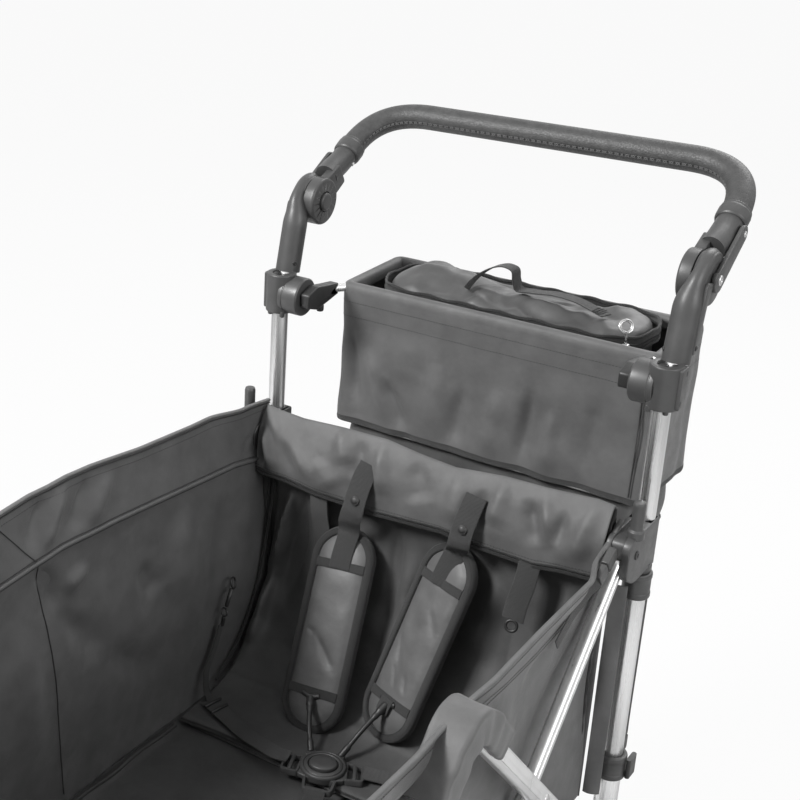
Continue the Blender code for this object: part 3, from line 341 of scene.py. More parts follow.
def insets(outline, distances):
    """Rings of an outline inset by each distance, its corners mitred."""
    outline = np.asarray(outline, float)
    edge = np.roll(outline, -1, axis=0) - outline
    area = (outline[:, 0] * np.roll(outline[:, 1], -1) - outline[:, 1] * np.roll(outline[:, 0], -1)).sum()
    normal = unit(np.stack([edge[:, 1], -edge[:, 0]], axis=1)) * np.sign(area)
    before = np.roll(normal, 1, axis=0)
    mitre = (normal + before) / np.maximum(1 + (normal * before).sum(axis=1, keepdims=True), 0.4)
    return outline[None] - np.asarray(distances, float)[:, None, None] * mitre[None]


def plate(outline, low, high, axis, bevel=0.001):
    """Outline in two axes pushed along the third, its edges rounded by insetting it along its normals."""
    turn = np.radians([0, 30, 60, 90])
    inset = bevel * (1 - np.sin(turn))
    rise = bevel * (1 - np.cos(turn))
    inset = np.concatenate([inset, inset[::-1]])
    height = np.concatenate([low + rise, high - rise[::-1]])
    rings = insets(outline, inset)
    grid = np.insert(rings, axis, np.broadcast_to(height[:, None], rings.shape[:2]), axis=2)
    points, quads, cloth, _ = grid_shape(grid, closed_columns=True)
    count = len(outline)
    last = len(points) - count
    return points, quads, cloth, [list(range(count)), list(range(last, last + count))]


def strap(path, width, thickness=0.0016, side=(1, 0, 0)):
    """Flat webbing: a thin rounded rectangle carried along a path, with its width near side."""
    section = box_outline(-width / 2, width / 2, -thickness / 2, thickness / 2, thickness * 0.48, 4)
    return carried(path, section, 1.0, side, thickness / 4)


def threads_at(centre, way, lift, length, thick, inner, low, high):
    """Thread capsules at given centres: four rings of five points along each one's way.

    The end rings shrink to a point and sink by the low share of the thread's radius, the inner pair
    stands at an inner share of its length, raised by the high share.
    """
    across = unit(np.cross(way, lift))
    step = np.array([-0.5, -inner, inner, 0.5]) * length
    size = np.array([0.05, 1, 1, 0.05]) * thick / 2
    sink = np.array([low, high, high, low]) * thick / 2
    angle = np.arange(5) * 2 * pi / 5
    around = np.cos(angle)[None, :, None] * across[:, None] + np.sin(angle)[None, :, None] * lift[:, None]
    middle = centre[:, None] + step[None, :, None] * way[:, None] + sink[None, :, None] * lift[:, None]
    grid = middle[:, :, None] + size[None, :, None, None] * around[:, None]
    base = (np.arange(len(centre)) * 20)[:, None, None]
    ring = np.arange(3)[None, :, None] * 5
    corner = np.arange(5)[None, None, :]
    after = (corner + 1) % 5
    quads = np.stack([
        base + ring + corner, base + ring + after, base + ring + 5 + after, base + ring + 5 + corner,
    ], axis=-1).reshape(-1, 4)
    return grid.reshape(-1, 3), quads, np.zeros((len(quads), 4, 2)), []


def stitches(path, lift, pitch=0.0036, length=0.0026, thick=0.0009):
    """Row of short threads along a path, a pitch apart, lifted off the cloth."""
    run = np.linalg.norm(np.diff(path, axis=0), axis=1).sum()
    path = evenly(np.asarray(path, float), max(int(run / pitch), 3))
    lift = unit(np.broadcast_to(np.asarray(lift, float), path.shape))
    return threads_at(path, unit(np.gradient(path, axis=0)), lift, length, thick, 0.32, -0.6, 0.15)


def make(name, shape, finish, body="rear_top", sharp=38, node=None):
    """Mesh piece of a shape, closed at its poles, with its normals outwards.

    It rides on a body, if one is given, and takes the place of a node, if one is given.
    """
    points, quads, cloth, caps = shape
    mesh = bpy.data.meshes.new(name)
    mesh.from_pydata(points.tolist(), [], quads.tolist() + caps)
    flat = np.zeros((len(mesh.loops), 2))
    flat[: quads.size] = cloth.reshape(-1, 2)
    mesh.uv_layers.new(name="cloth").data.foreach_set("uv", flat.ravel())
    cleaner = bmesh.new()
    cleaner.from_mesh(mesh)
    bmesh.ops.remove_doubles(cleaner, verts=cleaner.verts, dist=0.00002)
    bmesh.ops.recalc_face_normals(cleaner, faces=cleaner.faces)
    cleaner.to_mesh(mesh)
    cleaner.free()
    mesh.shade_smooth()
    mesh.set_sharp_from_angle(angle=radians(sharp))
    mesh.materials.append(finish)
    piece = bpy.data.objects.new(name, mesh)
    bpy.context.scene.collection.objects.link(piece)
    if body:
        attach(piece, body)
    if node:
        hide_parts(node)
    return piece


# Finishes


class Finish:
    """Principled material with its node tree at hand."""

    def __init__(self, name, colour, roughness, metallic=0.0):
        self.material = bpy.data.materials.new(name)
        self.material.use_nodes = True
        self.tree = self.material.node_tree
        self.shader = self.tree.nodes["Principled BSDF"]
        self.set("Base Color", (*colour, 1))
        self.set("Roughness", roughness)
        self.set("Metallic", metallic)
        self.place = self.tree.nodes.new("ShaderNodeTexCoord")
        self.height = None

    def set(self, socket, value):
        self.shader.inputs[socket].default_value = value

    def node(self, kind, **sockets):
        made = self.tree.nodes.new(kind)
        for name, value in sockets.items():
            key = name.replace("_", " ")
            if hasattr(value, "is_output"):
                self.tree.links.new(value, made.inputs[key])
            else:
                made.inputs[key].default_value = value
        return made

    def math(self, operation, a, b=0.0):
        made = self.tree.nodes.new("ShaderNodeMath")
        made.operation = operation
        for socket, value in zip(made.inputs, (a, b)):
            if hasattr(value, "is_output"):
                self.tree.links.new(value, socket)
            else:
                socket.default_value = value
        return made.outputs[0]

    def stretched(self, scale, coordinates="Object"):
        """Coordinates scaled by axis."""
        made = self.node("ShaderNodeMapping", Vector=self.place.outputs[coordinates])
        made.inputs["Scale"].default_value = scale
        return made.outputs[0]

    def noise(self, scale, detail=3.0, roughness=0.5, vector=None):
        vector = vector or self.place.outputs["Object"]
        made = self.node(
            "ShaderNodeTexNoise", Vector=vector, Scale=scale, Detail=detail, Roughness=roughness,
        )
        return made.outputs[0]

    def between(self, value, low, high, start=0.3, end=0.7):
        """Value mapped from start..end to low..high."""
        made = self.node("ShaderNodeMapRange", Value=value)
        for key, number in (("From Min", start), ("From Max", end), ("To Min", low), ("To Max", high)):
            made.inputs[key].default_value = number
        return made.outputs[0]

    def tint(self, value, dark, light, start=0.3, end=0.7):
        """Base colour between two tones by a value."""
        made = self.tree.nodes.new("ShaderNodeMix")
        made.data_type = "RGBA"
        self.tree.links.new(self.between(value, 0, 1, start, end), made.inputs[0])
        made.inputs[6].default_value = (*dark, 1)
        made.inputs[7].default_value = (*light, 1)
        self.tree.links.new(made.outputs[2], self.shader.inputs["Base Color"])

    def rough(self, value, low, high, start=0.3, end=0.7):
        self.tree.links.new(self.between(value, low, high, start, end), self.shader.inputs["Roughness"])

    def bump(self, height, distance, strength=1.0):
        made = self.node("ShaderNodeBump", Height=height, Distance=distance, Strength=strength)
        if self.height:
            self.tree.links.new(self.height, made.inputs["Normal"])
        self.height = made.outputs[0]
        self.tree.links.new(self.height, self.shader.inputs["Normal"])

    def threads(self, across, along, slant=0.0):
        """Weave height: the product of two sines of the place on the flat cloth, a thread apart each."""
        split = self.node("ShaderNodeSeparateXYZ", Vector=self.place.outputs["UV"])
        u = self.math("MULTIPLY", split.outputs[0], 2 * pi / across)
        v = self.math("MULTIPLY", split.outputs[1], 2 * pi / along)
        if slant:
            v = self.math("ADD", v, self.math("MULTIPLY", split.outputs[0], slant * 2 * pi / along))
        return self.math("MULTIPLY", self.math("SINE", u), self.math("SINE", v))


def tone(value, warm=1.0):
    """Near-neutral grey."""
    return (value * warm, value, value * (2 - warm) ** 0.5)


def coated_fabric(name, dark, light, roughness):
    """Coated polyester: a fine weave, soft mottling and worn, slightly glossy folds."""
    finish = Finish(name, tone(light), roughness)
    finish.tint(finish.noise(26, 5, 0.62), tone(dark), tone(light))
    finish.rough(finish.noise(60, 3), roughness - 0.06, roughness + 0.08)
    finish.bump(finish.threads(0.0011, 0.0011), 0.00012, 0.55)
    finish.bump(finish.noise(900, 2), 0.0001, 0.35)
    finish.bump(finish.noise(34, 4, 0.6), 0.0016, 0.5)
    finish.set("Sheen Weight", 0.12)
    finish.set("Sheen Roughness", 0.45)
    return finish.material


def ribbed_webbing(name, dark, light, rib=0.0016):
    """Woven strap: slanted ribs across it, dull, its colour lighter on the rib crowns and darker between
    them: painted highlight and painted shade.
    """
    finish = Finish(name, tone(light), 0.8)
    ribs = finish.threads(rib * 1.3, rib, 0.5)
    # colour follows the rib height: painted highlight on the crowns, painted shade in the grooves
    finish.tint(ribs, tone(dark), tone(light), -0.9, 0.9)
    finish.bump(ribs, 0.0005, 0.8)
    finish.bump(finish.noise(1500, 2), 0.0002, 0.4)
    finish.set("Sheen Weight", 0.2)
    return finish.material


def moulded(name, level, roughness, metallic=0.0, grain=0.00012):
    """Moulded plastic: fine spark grain, faint cloudiness, rubbed and smoother here and there."""
    finish = Finish(name, tone(level), roughness, metallic)
    finish.tint(finish.noise(40, 4), tone(level * 0.9), tone(level * 1.1))
    finish.rough(finish.noise(90, 4), roughness - 0.05, roughness + 0.07)
    finish.bump(finish.noise(2200, 2), grain, 0.5)
    return finish.material


def drawn_metal(name, level, roughness, scale):
    """Drawn metal: streaks along its length in the roughness and the surface."""
    finish = Finish(name, (level, level, level * 1.005), roughness, 1.0)
    streak = finish.noise(1.0, 4, 0.6, finish.stretched(scale))
    finish.rough(streak, roughness - 0.06, roughness + 0.1)
    finish.tint(streak, (level * 0.93,) * 3, (level,) * 3)
    finish.bump(streak, 0.00005, 0.5)
    return finish.material


def grained_leather(name):
    """Leather cover: cells and fine wrinkles in the surface, glossier on their crowns."""
    finish = Finish(name, tone(0.062), 0.5)
    cells = finish.node("ShaderNodeTexVoronoi", Vector=finish.place.outputs["Object"], Scale=520.0)
    finish.tint(finish.noise(120, 5), tone(0.05), tone(0.078))
    finish.rough(cells.outputs[0], 0.38, 0.56, 0.1, 0.7)
    finish.bump(cells.outputs[0], 0.00035, 0.65)
    finish.bump(finish.noise(240, 4), 0.0006, 0.5)
    return finish.material


def rubber_tread(name):
    """Tyre rubber: dull, with a faint dusty mottle."""
    finish = Finish(name, tone(0.022), 0.82)
    finish.tint(finish.noise(30, 5), tone(0.017), tone(0.034))
    finish.bump(finish.noise(700, 3), 0.0003, 0.6)
    return finish.material


FABRIC = coated_fabric("tub_fabric", 0.11, 0.15, 0.48)
# darker copy of the tub fabric for the floor mat, seat cover and seat cushions inside the tub: its darkness
# is painted shade
INSIDE_SHADE_FABRIC = coated_fabric("inner_fabric_painted_shade", 0.07, 0.095, 0.5)
BAG_FABRIC = coated_fabric("bag_fabric", 0.07, 0.095, 0.48)
WEBBING = ribbed_webbing("strap_webbing", 0.028, 0.068)
BINDING = ribbed_webbing("edge_binding", 0.02, 0.05, 0.0012)
PIPING = ribbed_webbing("black_piping", 0.008, 0.02, 0.001)
THREAD = moulded("thread", 0.045, 0.7)
LACING = moulded("lacing_thread", 0.16, 0.7)
PLASTIC = moulded("satin_plastic", 0.085, 0.4, 0.25)
BLACK_PLASTIC = moulded("black_plastic", 0.03, 0.42)
LEATHER = grained_leather("grip_leather")
ALUMINIUM = drawn_metal("bright_tube", 0.8, 0.28, (700, 700, 6))
BAR_METAL = drawn_metal("bar_aluminium", 0.84, 0.32, (500, 60, 60))
STEEL = drawn_metal("steel", 0.62, 0.24, (300, 300, 300))
RUBBER = rubber_tread("tyre_rubber")


# Stage and camera


def set_stage():
    """White studio: pale floor that keeps a soft shadow, three large soft lamps."""
    floor = Finish("floor_paint", (0.9, 0.9, 0.9), 0.9)
    tree = floor.tree
    glow = tree.nodes.new("ShaderNodeEmission")
    ray = tree.nodes.new("ShaderNodeLightPath")
    mix = tree.nodes.new("ShaderNodeMixShader")
    share = floor.math("MULTIPLY", ray.outputs["Is Camera Ray"], 0.93)
    tree.links.new(share, mix.inputs[0])
    tree.links.new(floor.shader.outputs[0], mix.inputs[1])
    tree.links.new(glow.outputs[0], mix.inputs[2])
    tree.links.new(mix.outputs[0], tree.nodes["Material Output"].inputs["Surface"])
    grid = np.array([[(-40, -40, 0), (40, -40, 0)], [(-40, 40, 0), (40, 40, 0)]], float)
    ground = make("floor", grid_shape(grid), floor.material, None)

    world = bpy.data.worlds.new("studio")
    bpy.context.scene.world = world
    world.use_nodes = True
    tree = world.node_tree
    ray = tree.nodes.new("ShaderNodeLightPath")
    soft = tree.nodes["Background"]
    seen = tree.nodes.new("ShaderNodeBackground")
    for glow, strength in ((soft, 0.24), (seen, 1.0)):
        glow.inputs["Color"].default_value = (1, 1, 1, 1)
        glow.inputs["Strength"].default_value = strength
    mix = tree.nodes.new("ShaderNodeMixShader")
    either = tree.nodes.new("ShaderNodeMath")
    either.operation = "MAXIMUM"
    tree.links.new(ray.outputs["Is Camera Ray"], either.inputs[0])
    tree.links.new(ray.outputs["Is Glossy Ray"], either.inputs[1])
    tree.links.new(either.outputs[0], mix.inputs[0])
    tree.links.new(soft.outputs[0], mix.inputs[1])
    tree.links.new(seen.outputs[0], mix.inputs[2])
    tree.links.new(mix.outputs[0], tree.nodes["World Output"].inputs["Surface"])

    for name, place, aim, width, power in (
        ("key_lamp", (-1.5, -2.0, 2.9), (0, 0, 0.7), 0.9, 125),
        ("fill_lamp", (2.7, -0.2, 2.0), (0, 0, 0.6), 1.6, 30),
        ("back_lamp", (0.2, 2.7, 2.6), (0, 0.2, 0.7), 1.6, 34),
    ):
        data = bpy.data.lights.new(name, "AREA")
        data.size = width
        data.energy = power
        lamp = bpy.data.objects.new(name, data)
        lamp.location = place
        bpy.context.scene.collection.objects.link(lamp)
        way = np.array(aim, float) - np.array(place, float)
        lamp.rotation_euler = (
            np.arctan2(np.hypot(way[0], way[1]), -way[2]), 0, np.arctan2(-way[0], way[1]),
        )
    bpy.context.scene.view_settings.view_transform = "Standard"


def set_camera():
    """Photograph's view: from the front right, looking down on the rear end."""
    data = bpy.data.cameras.new("camera")
    camera = bpy.data.objects.new("camera", data)
    bpy.context.scene.collection.objects.link(camera)
    camera.location = at(0.7618, -1.5813, 1.5285)
    camera.rotation_euler = (radians(90 - 22.08), 0, radians(38.55))
    data.lens = 66.8
    data.shift_x = 0.3236
    data.shift_y = -0.0434
    data.clip_start = 0.02
    bpy.context.scene.camera = camera


set_stage()
set_camera()


# Frame: posts, collars, brackets and bars

TUBE_RADIUS, MID_RADIUS, LOW_RADIUS = 0.011, 0.0128, 0.0146
COLLAR_TOP, COLLAR_LOW = 0.6372, 0.6032
LOW_COLLAR_TOP, LOW_COLLAR_LOW = 0.376, 0.343


def collar(radius, bore, low, high, x, y):
    """Clamp ring with a proud lip at each end and a shallow waist."""
    profile = [
        (bore, low), (radius - 0.0008, low), (radius, low + 0.002), (radius, low + 0.007),
        (radius - 0.0007, low + 0.008), (radius - 0.0007, high - 0.008), (radius, high - 0.007),
        (radius, high - 0.002), (radius - 0.0008, high), (bore, high),
    ]
    return turned(soften(profile, 0.0008, True, 3), (x, y, 0), closed=True)


def screw(place, axis, radius=0.003, height=0.0012):
    """Pan head with a socket in it."""
    profile = [
        (0, -height), (radius, -height), (radius, height * 0.5), (radius * 0.8, height),
        (radius * 0.45, height), (radius * 0.4, height * 0.1), (0, height * 0.1),
    ]
    return lathe(profile, place, axis, height * 0.3, 24)


def bracket(toward, bar, outer, behind, low, high):
    """Bracket on the right side: block round the post, two cheeks about a bar's slot, and a roof."""
    inner = 0.243
    pivot = toward * PIVOT
    nose = pivot + toward * 0.0235
    back = -toward * behind
    root = toward * 0.0145
    cheeks = []
    for x0, x1 in ((inner, bar - 0.0068), (bar + 0.0068, outer)):
        corner = [(back, low), (pivot, low), (nose, low + 0.016), (nose, high), (back, high)]
        outline = np.array(soften(corner, [0.002, 0.012, 0.006, 0.016, 0.003], True, 7)) + (REAR_POST, 0)
        cheeks.append(plate(outline, x0, x1, 0, 0.0012))
    block = np.array(box_outline(min(back, root), max(back, root), low, high, 0.002)) + (REAR_POST, 0)
    cheeks.append(plate(block, inner + 0.0004, outer - 0.0004, 0, 0.001))
    rim = nose - toward * 0.0025
    lining = nose - toward * 0.0055
    roof = soften([(root, high - 0.002), (rim, high - 0.002), (rim, high - 0.026)], 0.016, False, 10)
    ceiling = soften(
        [(lining, high - 0.026), (lining, high - 0.005), (root, high - 0.005)], 0.013, False, 10,
    )
    outline = np.concatenate([roof, ceiling]) + (REAR_POST, 0)
    cheeks.append(plate(outline, inner + 0.0006, outer - 0.0006, 0, 0.0005))
    return cheeks


def make_posts():
    """Bright tubes with dark collars: three stages of the rear posts, and the front posts."""
    for name, side in SIDES:
        x = side * POST_X
        make(
            f"upper_tube_{name}", tube(TUBE_RADIUS, 0.0095, 0.4, 0.899, x, REAR_POST), ALUMINIUM,
            node=f"upright_{name}",
        )
        make(
            f"middle_tube_{name}", tube(MID_RADIUS, 0.0114, 0.3, 0.612, x, REAR_POST), ALUMINIUM,
            "rear_base", node=f"mid_post_{name}",
        )
        shape = collar(0.0172, 0.0117, COLLAR_LOW, COLLAR_TOP, x, REAR_POST)
        ear = plate(
            box_outline(
                REAR_POST + 0.012, REAR_POST + 0.023, COLLAR_LOW + 0.007, COLLAR_TOP - 0.008, 0.002,
            ),
            x - 0.0045, x + 0.0045, 0, 0.0008,
        )
        make(f"middle_collar_{name}", merged(shape, ear), PLASTIC, "rear_base")
        lower = tube(LOW_RADIUS, 0.0131, 0.11, 0.35, x, REAR_POST)
        make(f"lower_tube_{name}", lower, ALUMINIUM, "rear_base", node=f"lower_post_rear_{name}")
        shape = collar(0.0191, 0.0131, LOW_COLLAR_LOW, LOW_COLLAR_TOP, x, REAR_POST)
        make(f"lower_collar_{name}", shape, PLASTIC, "rear_base")
        base = bracket(-1, OUTER_BAR, BRACKET_FACE, 0.019, BOTTOM_PIVOT_Z - 0.024, BOTTOM_PIVOT_Z + 0.024)
        base.append(screw(at(BRACKET_FACE, -PIVOT, BOTTOM_PIVOT_Z), X_AXIS, 0.006, 0.0018))
        make(f"base_bracket_{name}", sided(merged(*base), side), PLASTIC, "rear_base")
        foot = lathe(
            [(0, 0.1), (0.0142, 0.1), (0.0158, 0.104), (0.0158, 0.113), (0, 0.113)], (x, REAR_POST, 0),
        )
        make(f"post_foot_{name}", foot, PLASTIC, "rear_base")

        sleeve = tube(LOW_RADIUS, 0.0131, 0.2055, 0.46, x, FRONT_POST)
        make(f"front_sleeve_{name}", sleeve, ALUMINIUM, "front_base", node=f"lower_post_front_{name}")
        shape = collar(0.0191, 0.0131, 0.447, 0.48, x, FRONT_POST)
        make(f"front_collar_{name}", shape, PLASTIC, "front_base")
        base = bracket(1, INNER_BAR, BRACKET_FACE, 0.019, BOTTOM_PIVOT_Z - 0.024, BOTTOM_PIVOT_Z + 0.024)
        base.append(screw(at(BRACKET_FACE, PIVOT, BOTTOM_PIVOT_Z), X_AXIS, 0.006, 0.0018))
        shape = sided(to_front(merged(*base)), side)
        make(f"front_base_bracket_{name}", shape, PLASTIC, "front_base")
        make(
            f"front_tube_{name}", tube(MID_RADIUS, 0.0113, 0.25, 0.7075, x, FRONT_POST), ALUMINIUM,
            "front_top", node=f"inner_post_front_{name}",
        )


def make_top_brackets():
    """Top brackets with their roofs, necks, canopy pegs and slotted rivets."""
    low, high = TOP_PIVOT_Z - 0.039, TOP_PIVOT_Z + 0.024
    for name, side in SIDES:
        parts = bracket(-1, INNER_BAR, 0.2725, 0.013, low, high)
        neck = [
            (0.0113, low - 0.0075), (0.0135, low - 0.0075), (0.0135, low + 0.004), (0.0113, low + 0.004),
        ]
        parts.append(turned(soften(neck, 0.0006, True, 3), at(POST_X, 0, 0), closed=True))
        peg = [
            (0, high - 0.003), (0.0098, high - 0.003), (0.0098, high + 0.007), (0.0072, high + 0.009),
            (0.0072, high + 0.04), (0.0062, high + 0.0435), (0, high + 0.0435),
        ]
        parts.append(lathe(peg, at(0.2685, -PIVOT, 0)))
        make(f"rear_bracket_{name}", sided(merged(*parts), side), PLASTIC, node=f"top_bracket_rear_{name}")
        marks = merged(
            screw(at(0.2727, -PIVOT, TOP_PIVOT_Z), X_AXIS, 0.0055, 0.0016),
            screw(at(0.2595, -0.04, high), Z_AXIS, 0.0024, 0.0008),
        )
        make(f"rear_rivets_{name}", sided(marks, side), BLACK_PLASTIC)

        parts = bracket(1, OUTER_BAR, BRACKET_FACE, 0.019, low, high)
        parts.append(screw(at(0.2857, PIVOT, TOP_PIVOT_Z), X_AXIS, 0.0055, 0.0016))
        shape = sided(to_front(merged(*parts)), side)
        make(f"front_bracket_{name}", shape, PLASTIC, "front_top", node=f"top_bracket_front_{name}")


def scissor_bar(plane, start, end):
    """Bright bar on the right side: rounded edges, square softened ends and a raised rib on its outside."""
    start, end = np.asarray(start, float), np.asarray(end, float)
    way = unit(end - start)
    across = np.array((-way[1], way[0]))
    start, end = start - way * 0.0125, end + way * 0.0125
    half = 0.0125
    corners = [start - across * half, end - across * half, end + across * half, start + across * half]
    bar = plate(soften(corners, 0.007, True, 8), plane - 0.0065, plane + 0.0065, 0, 0.0032)
    rib = [
        start + way * 0.02 - across * 0.0018, end - way * 0.02 - across * 0.0018,
        end - way * 0.02 + across * 0.0048, start + way * 0.02 + across * 0.0048,
    ]
    return merged(bar, plate(soften(rib, 0.002, True), plane + 0.005, plane + 0.0074, 0, 0.0007))


def make_scissors():
    """Two crossed pairs of bars on each side, with their spacers and rivets."""
    rear = REAR_POST - PIVOT
    middle, front = rear - 2 * CELL, rear - 4 * CELL
    top, bottom = TOP_PIVOT_Z, BOTTOM_PIVOT_Z
    bars = (
        ("rising_bar_rear", OUTER_BAR, (rear, bottom), (middle, top), "rear_rising_bars"),
        ("falling_bar_rear", INNER_BAR, (rear, top), (middle, bottom), "rear_falling_bars"),
        ("falling_bar_front", INNER_BAR, (middle, top), (front, bottom), "front_falling_bars"),
        ("rising_bar_front", OUTER_BAR, (middle, bottom), (front, top), "front_rising_bars"),
    )
    crossings = {
        "falling_bar_rear": ((rear - CELL, CROSS_Z), (middle, bottom)),
        "falling_bar_front": ((middle, top), (middle - CELL, CROSS_Z)),
    }
    for name, side in SIDES:
        for bar, plane, start, end, body in bars:
            shape = scissor_bar(plane, start, end)
            make(f"{bar}_bright_{name}", sided(shape, side), BAR_METAL, body, 30, node=f"{bar}_{name}")
            if bar not in crossings:
                continue
            parts = []
            for y, z in crossings[bar]:
                spacer = [(0, 0.005), (0.0105, 0.005), (0.0105, 0.0098), (0, 0.0098)]
                head = [(0, 0.0225), (0.0075, 0.0225), (0.0075, 0.0238), (0.005, 0.0255), (0, 0.0258)]
                parts += [lathe(spacer, (plane, y, z), X_AXIS), lathe(head, (plane, y, z), X_AXIS)]
            make(f"{bar}_rivets_{name}", sided(merged(*parts), side), STEEL, body)


make_posts()
make_top_brackets()
make_scissors()


# Push handle

JOINT = np.array((0.0, 0.072, 0.986))
JOINT_RADIUS = 0.0316
TILT = radians(30)
FORWARD = np.array((0.0, cos(TILT), sin(TILT)))
LIFT = np.array((0.0, -sin(TILT), cos(TILT)))
RING_START, RING_END = 0.092, 0.112
GRIP_REACH = 0.187


def at_joint(x):
    """Place on the axis of the handle's joints."""
    return (x, REAR_POST + JOINT[1], JOINT[2])


def on_arm(x, reach, lift=0.0):
    """Place beside the joint's axis, along the upper arm and square to it."""
    reach = np.asarray(reach, float)[..., None]
    lift = np.asarray(lift, float)[..., None]
    place = JOINT + (0, REAR_POST, 0) + FORWARD * reach + LIFT * lift
    return place + X_AXIS * np.asarray(x, float)[..., None]


def make_clamps():
    """Clamps on the uprights: a ring with a flat pad outside, and the round drum that carries the basket."""
    for name, side in SIDES:
        base = at(POST_X, 0, 0)
        ring = [
            (0.0113, 0.8495), (0.0188, 0.8495), (0.0193, 0.851), (0.0193, 0.9005), (0.0188, 0.902),
            (0.0113, 0.902),
        ]
        ring = turned(soften(ring, 0.0008, True, 3), base, closed=True)
        pad = plate(
            box_outline(REAR_POST - 0.0085, REAR_POST + 0.0125, 0.851, 0.9005, 0.003), 0.264, 0.2815, 0,
            0.0016,
        )
        neck = plate(
            box_outline(REAR_POST - 0.012, REAR_POST + 0.014, 0.8525, 0.899, 0.004), 0.244, 0.26, 0, 0.0016,
        )
        drum = [
            (0, 0.0), (0.0238, 0.0), (0.0256, 0.0018), (0.0256, 0.0215), (0.025, 0.022),
            (0.025, 0.0232), (0.0256, 0.0238), (0.0256, 0.029), (0, 0.029),
        ]
        drum = lathe(drum, at(0.2236, 0.005, 0.873), X_AXIS, 0.0006, 64)
        feet = [
            lathe(
                [(0, 0.8445), (0.0028, 0.8445), (0.0034, 0.846), (0.0034, 0.853), (0, 0.853)],
                at(x, back, 0), segments=20,
            )
            for x, back in ((0.2685, -0.0105), (0.2485, -0.0125))
        ]
        shape = merged(ring, pad, neck, drum, *feet)
        make(f"post_clamp_{name}", sided(shape, side), PLASTIC, node=f"handle_clamp_{name}")
        # thin black patches on the pad's outer face: painted shade standing for the insides of two slots
        slit_shade_patches = merged(*[
            plate(
                box_outline(REAR_POST + back, REAR_POST + back + 0.0045, z, z + 0.006, 0.001), 0.281,
                0.2818, 0, 0.0001,
            )
            for back, z in ((0.004, 0.89), (-0.006, 0.856))
        ])
        make(f"clamp_slit_shade_{name}", sided(slit_shade_patches, side), BLACK_PLASTIC)
        pin = screw(at(0.2235, 0.005, 0.873), -X_AXIS, 0.0026, 0.0009)
        make(f"clamp_screw_{name}", sided(pin, side), STEEL)


def make_lower_arms():
    """Arms from the clamps to the joints: a wide straight tube that leans back and hooks over the joint."""
    bends = [
        (262.5, 19, 899), (262.5, 27.5, 938), (263.2, 36, 974),
        (266.2, 43, 992), (267.2, 52, 1000.5), (267.2, 64, 1008), (267.2, 77, 1008.5),
        (267.2, 87, 1003),
    ]
    path = through(bends, 56)
    share = smooth_step(np.linspace(0, 1, 56), 0.42, 0.7)
    size = np.stack([0.0163 - 0.007 * share, 0.0163 - 0.0043 * share], axis=1)
    tubes = carried(path, round_outline(1, 1, 40), size, (1, 0, 0), 0.0012)
    hub = [
        (0, 0.0003), (0.03, 0.0003), (JOINT_RADIUS, 0.0018), (JOINT_RADIUS, 0.0165), (0.03, 0.018),
        (0, 0.018),
    ]
    hub = lathe(hub, at_joint(0.2577), X_AXIS, 0.001, 64)
    trim = [(0.02, 0.9085), (0.0345, 0.9085), (0.047, 0.962), (0.06, 0.986), (0.04, 0.99), (0.0275, 0.95)]
    trim = plate(np.array(soften(trim, 0.006, True, 6)) + (REAR_POST, 0), 0.2735, 0.28, 0, 0.0016)
    stub = cord(
        places([(0.2625, 0.0155, 0.886), (0.2625, 0.0175, 0.893), (0.2625, 0.0192, 0.9)]), 0.0132, 0.0132,
        32,
    )
    for name, side in SIDES:
        make(
            f"handle_post_{name}", sided(merged(tubes, hub, trim), side), PLASTIC, sharp=42,
            node=f"lower_arm_{name}",
        )
        make(f"arm_stub_{name}", sided(stub, side), ALUMINIUM)
        pins = merged(
            screw(at(0.2485, 0.0135, 0.913), (-1, -0.7, 0), 0.003, 0.001),
            screw(at(0.2801, 0.0275, 0.9165), X_AXIS, 0.003, 0.001),
        )
        make(f"arm_screws_{name}", sided(pins, side), BLACK_PLASTIC)


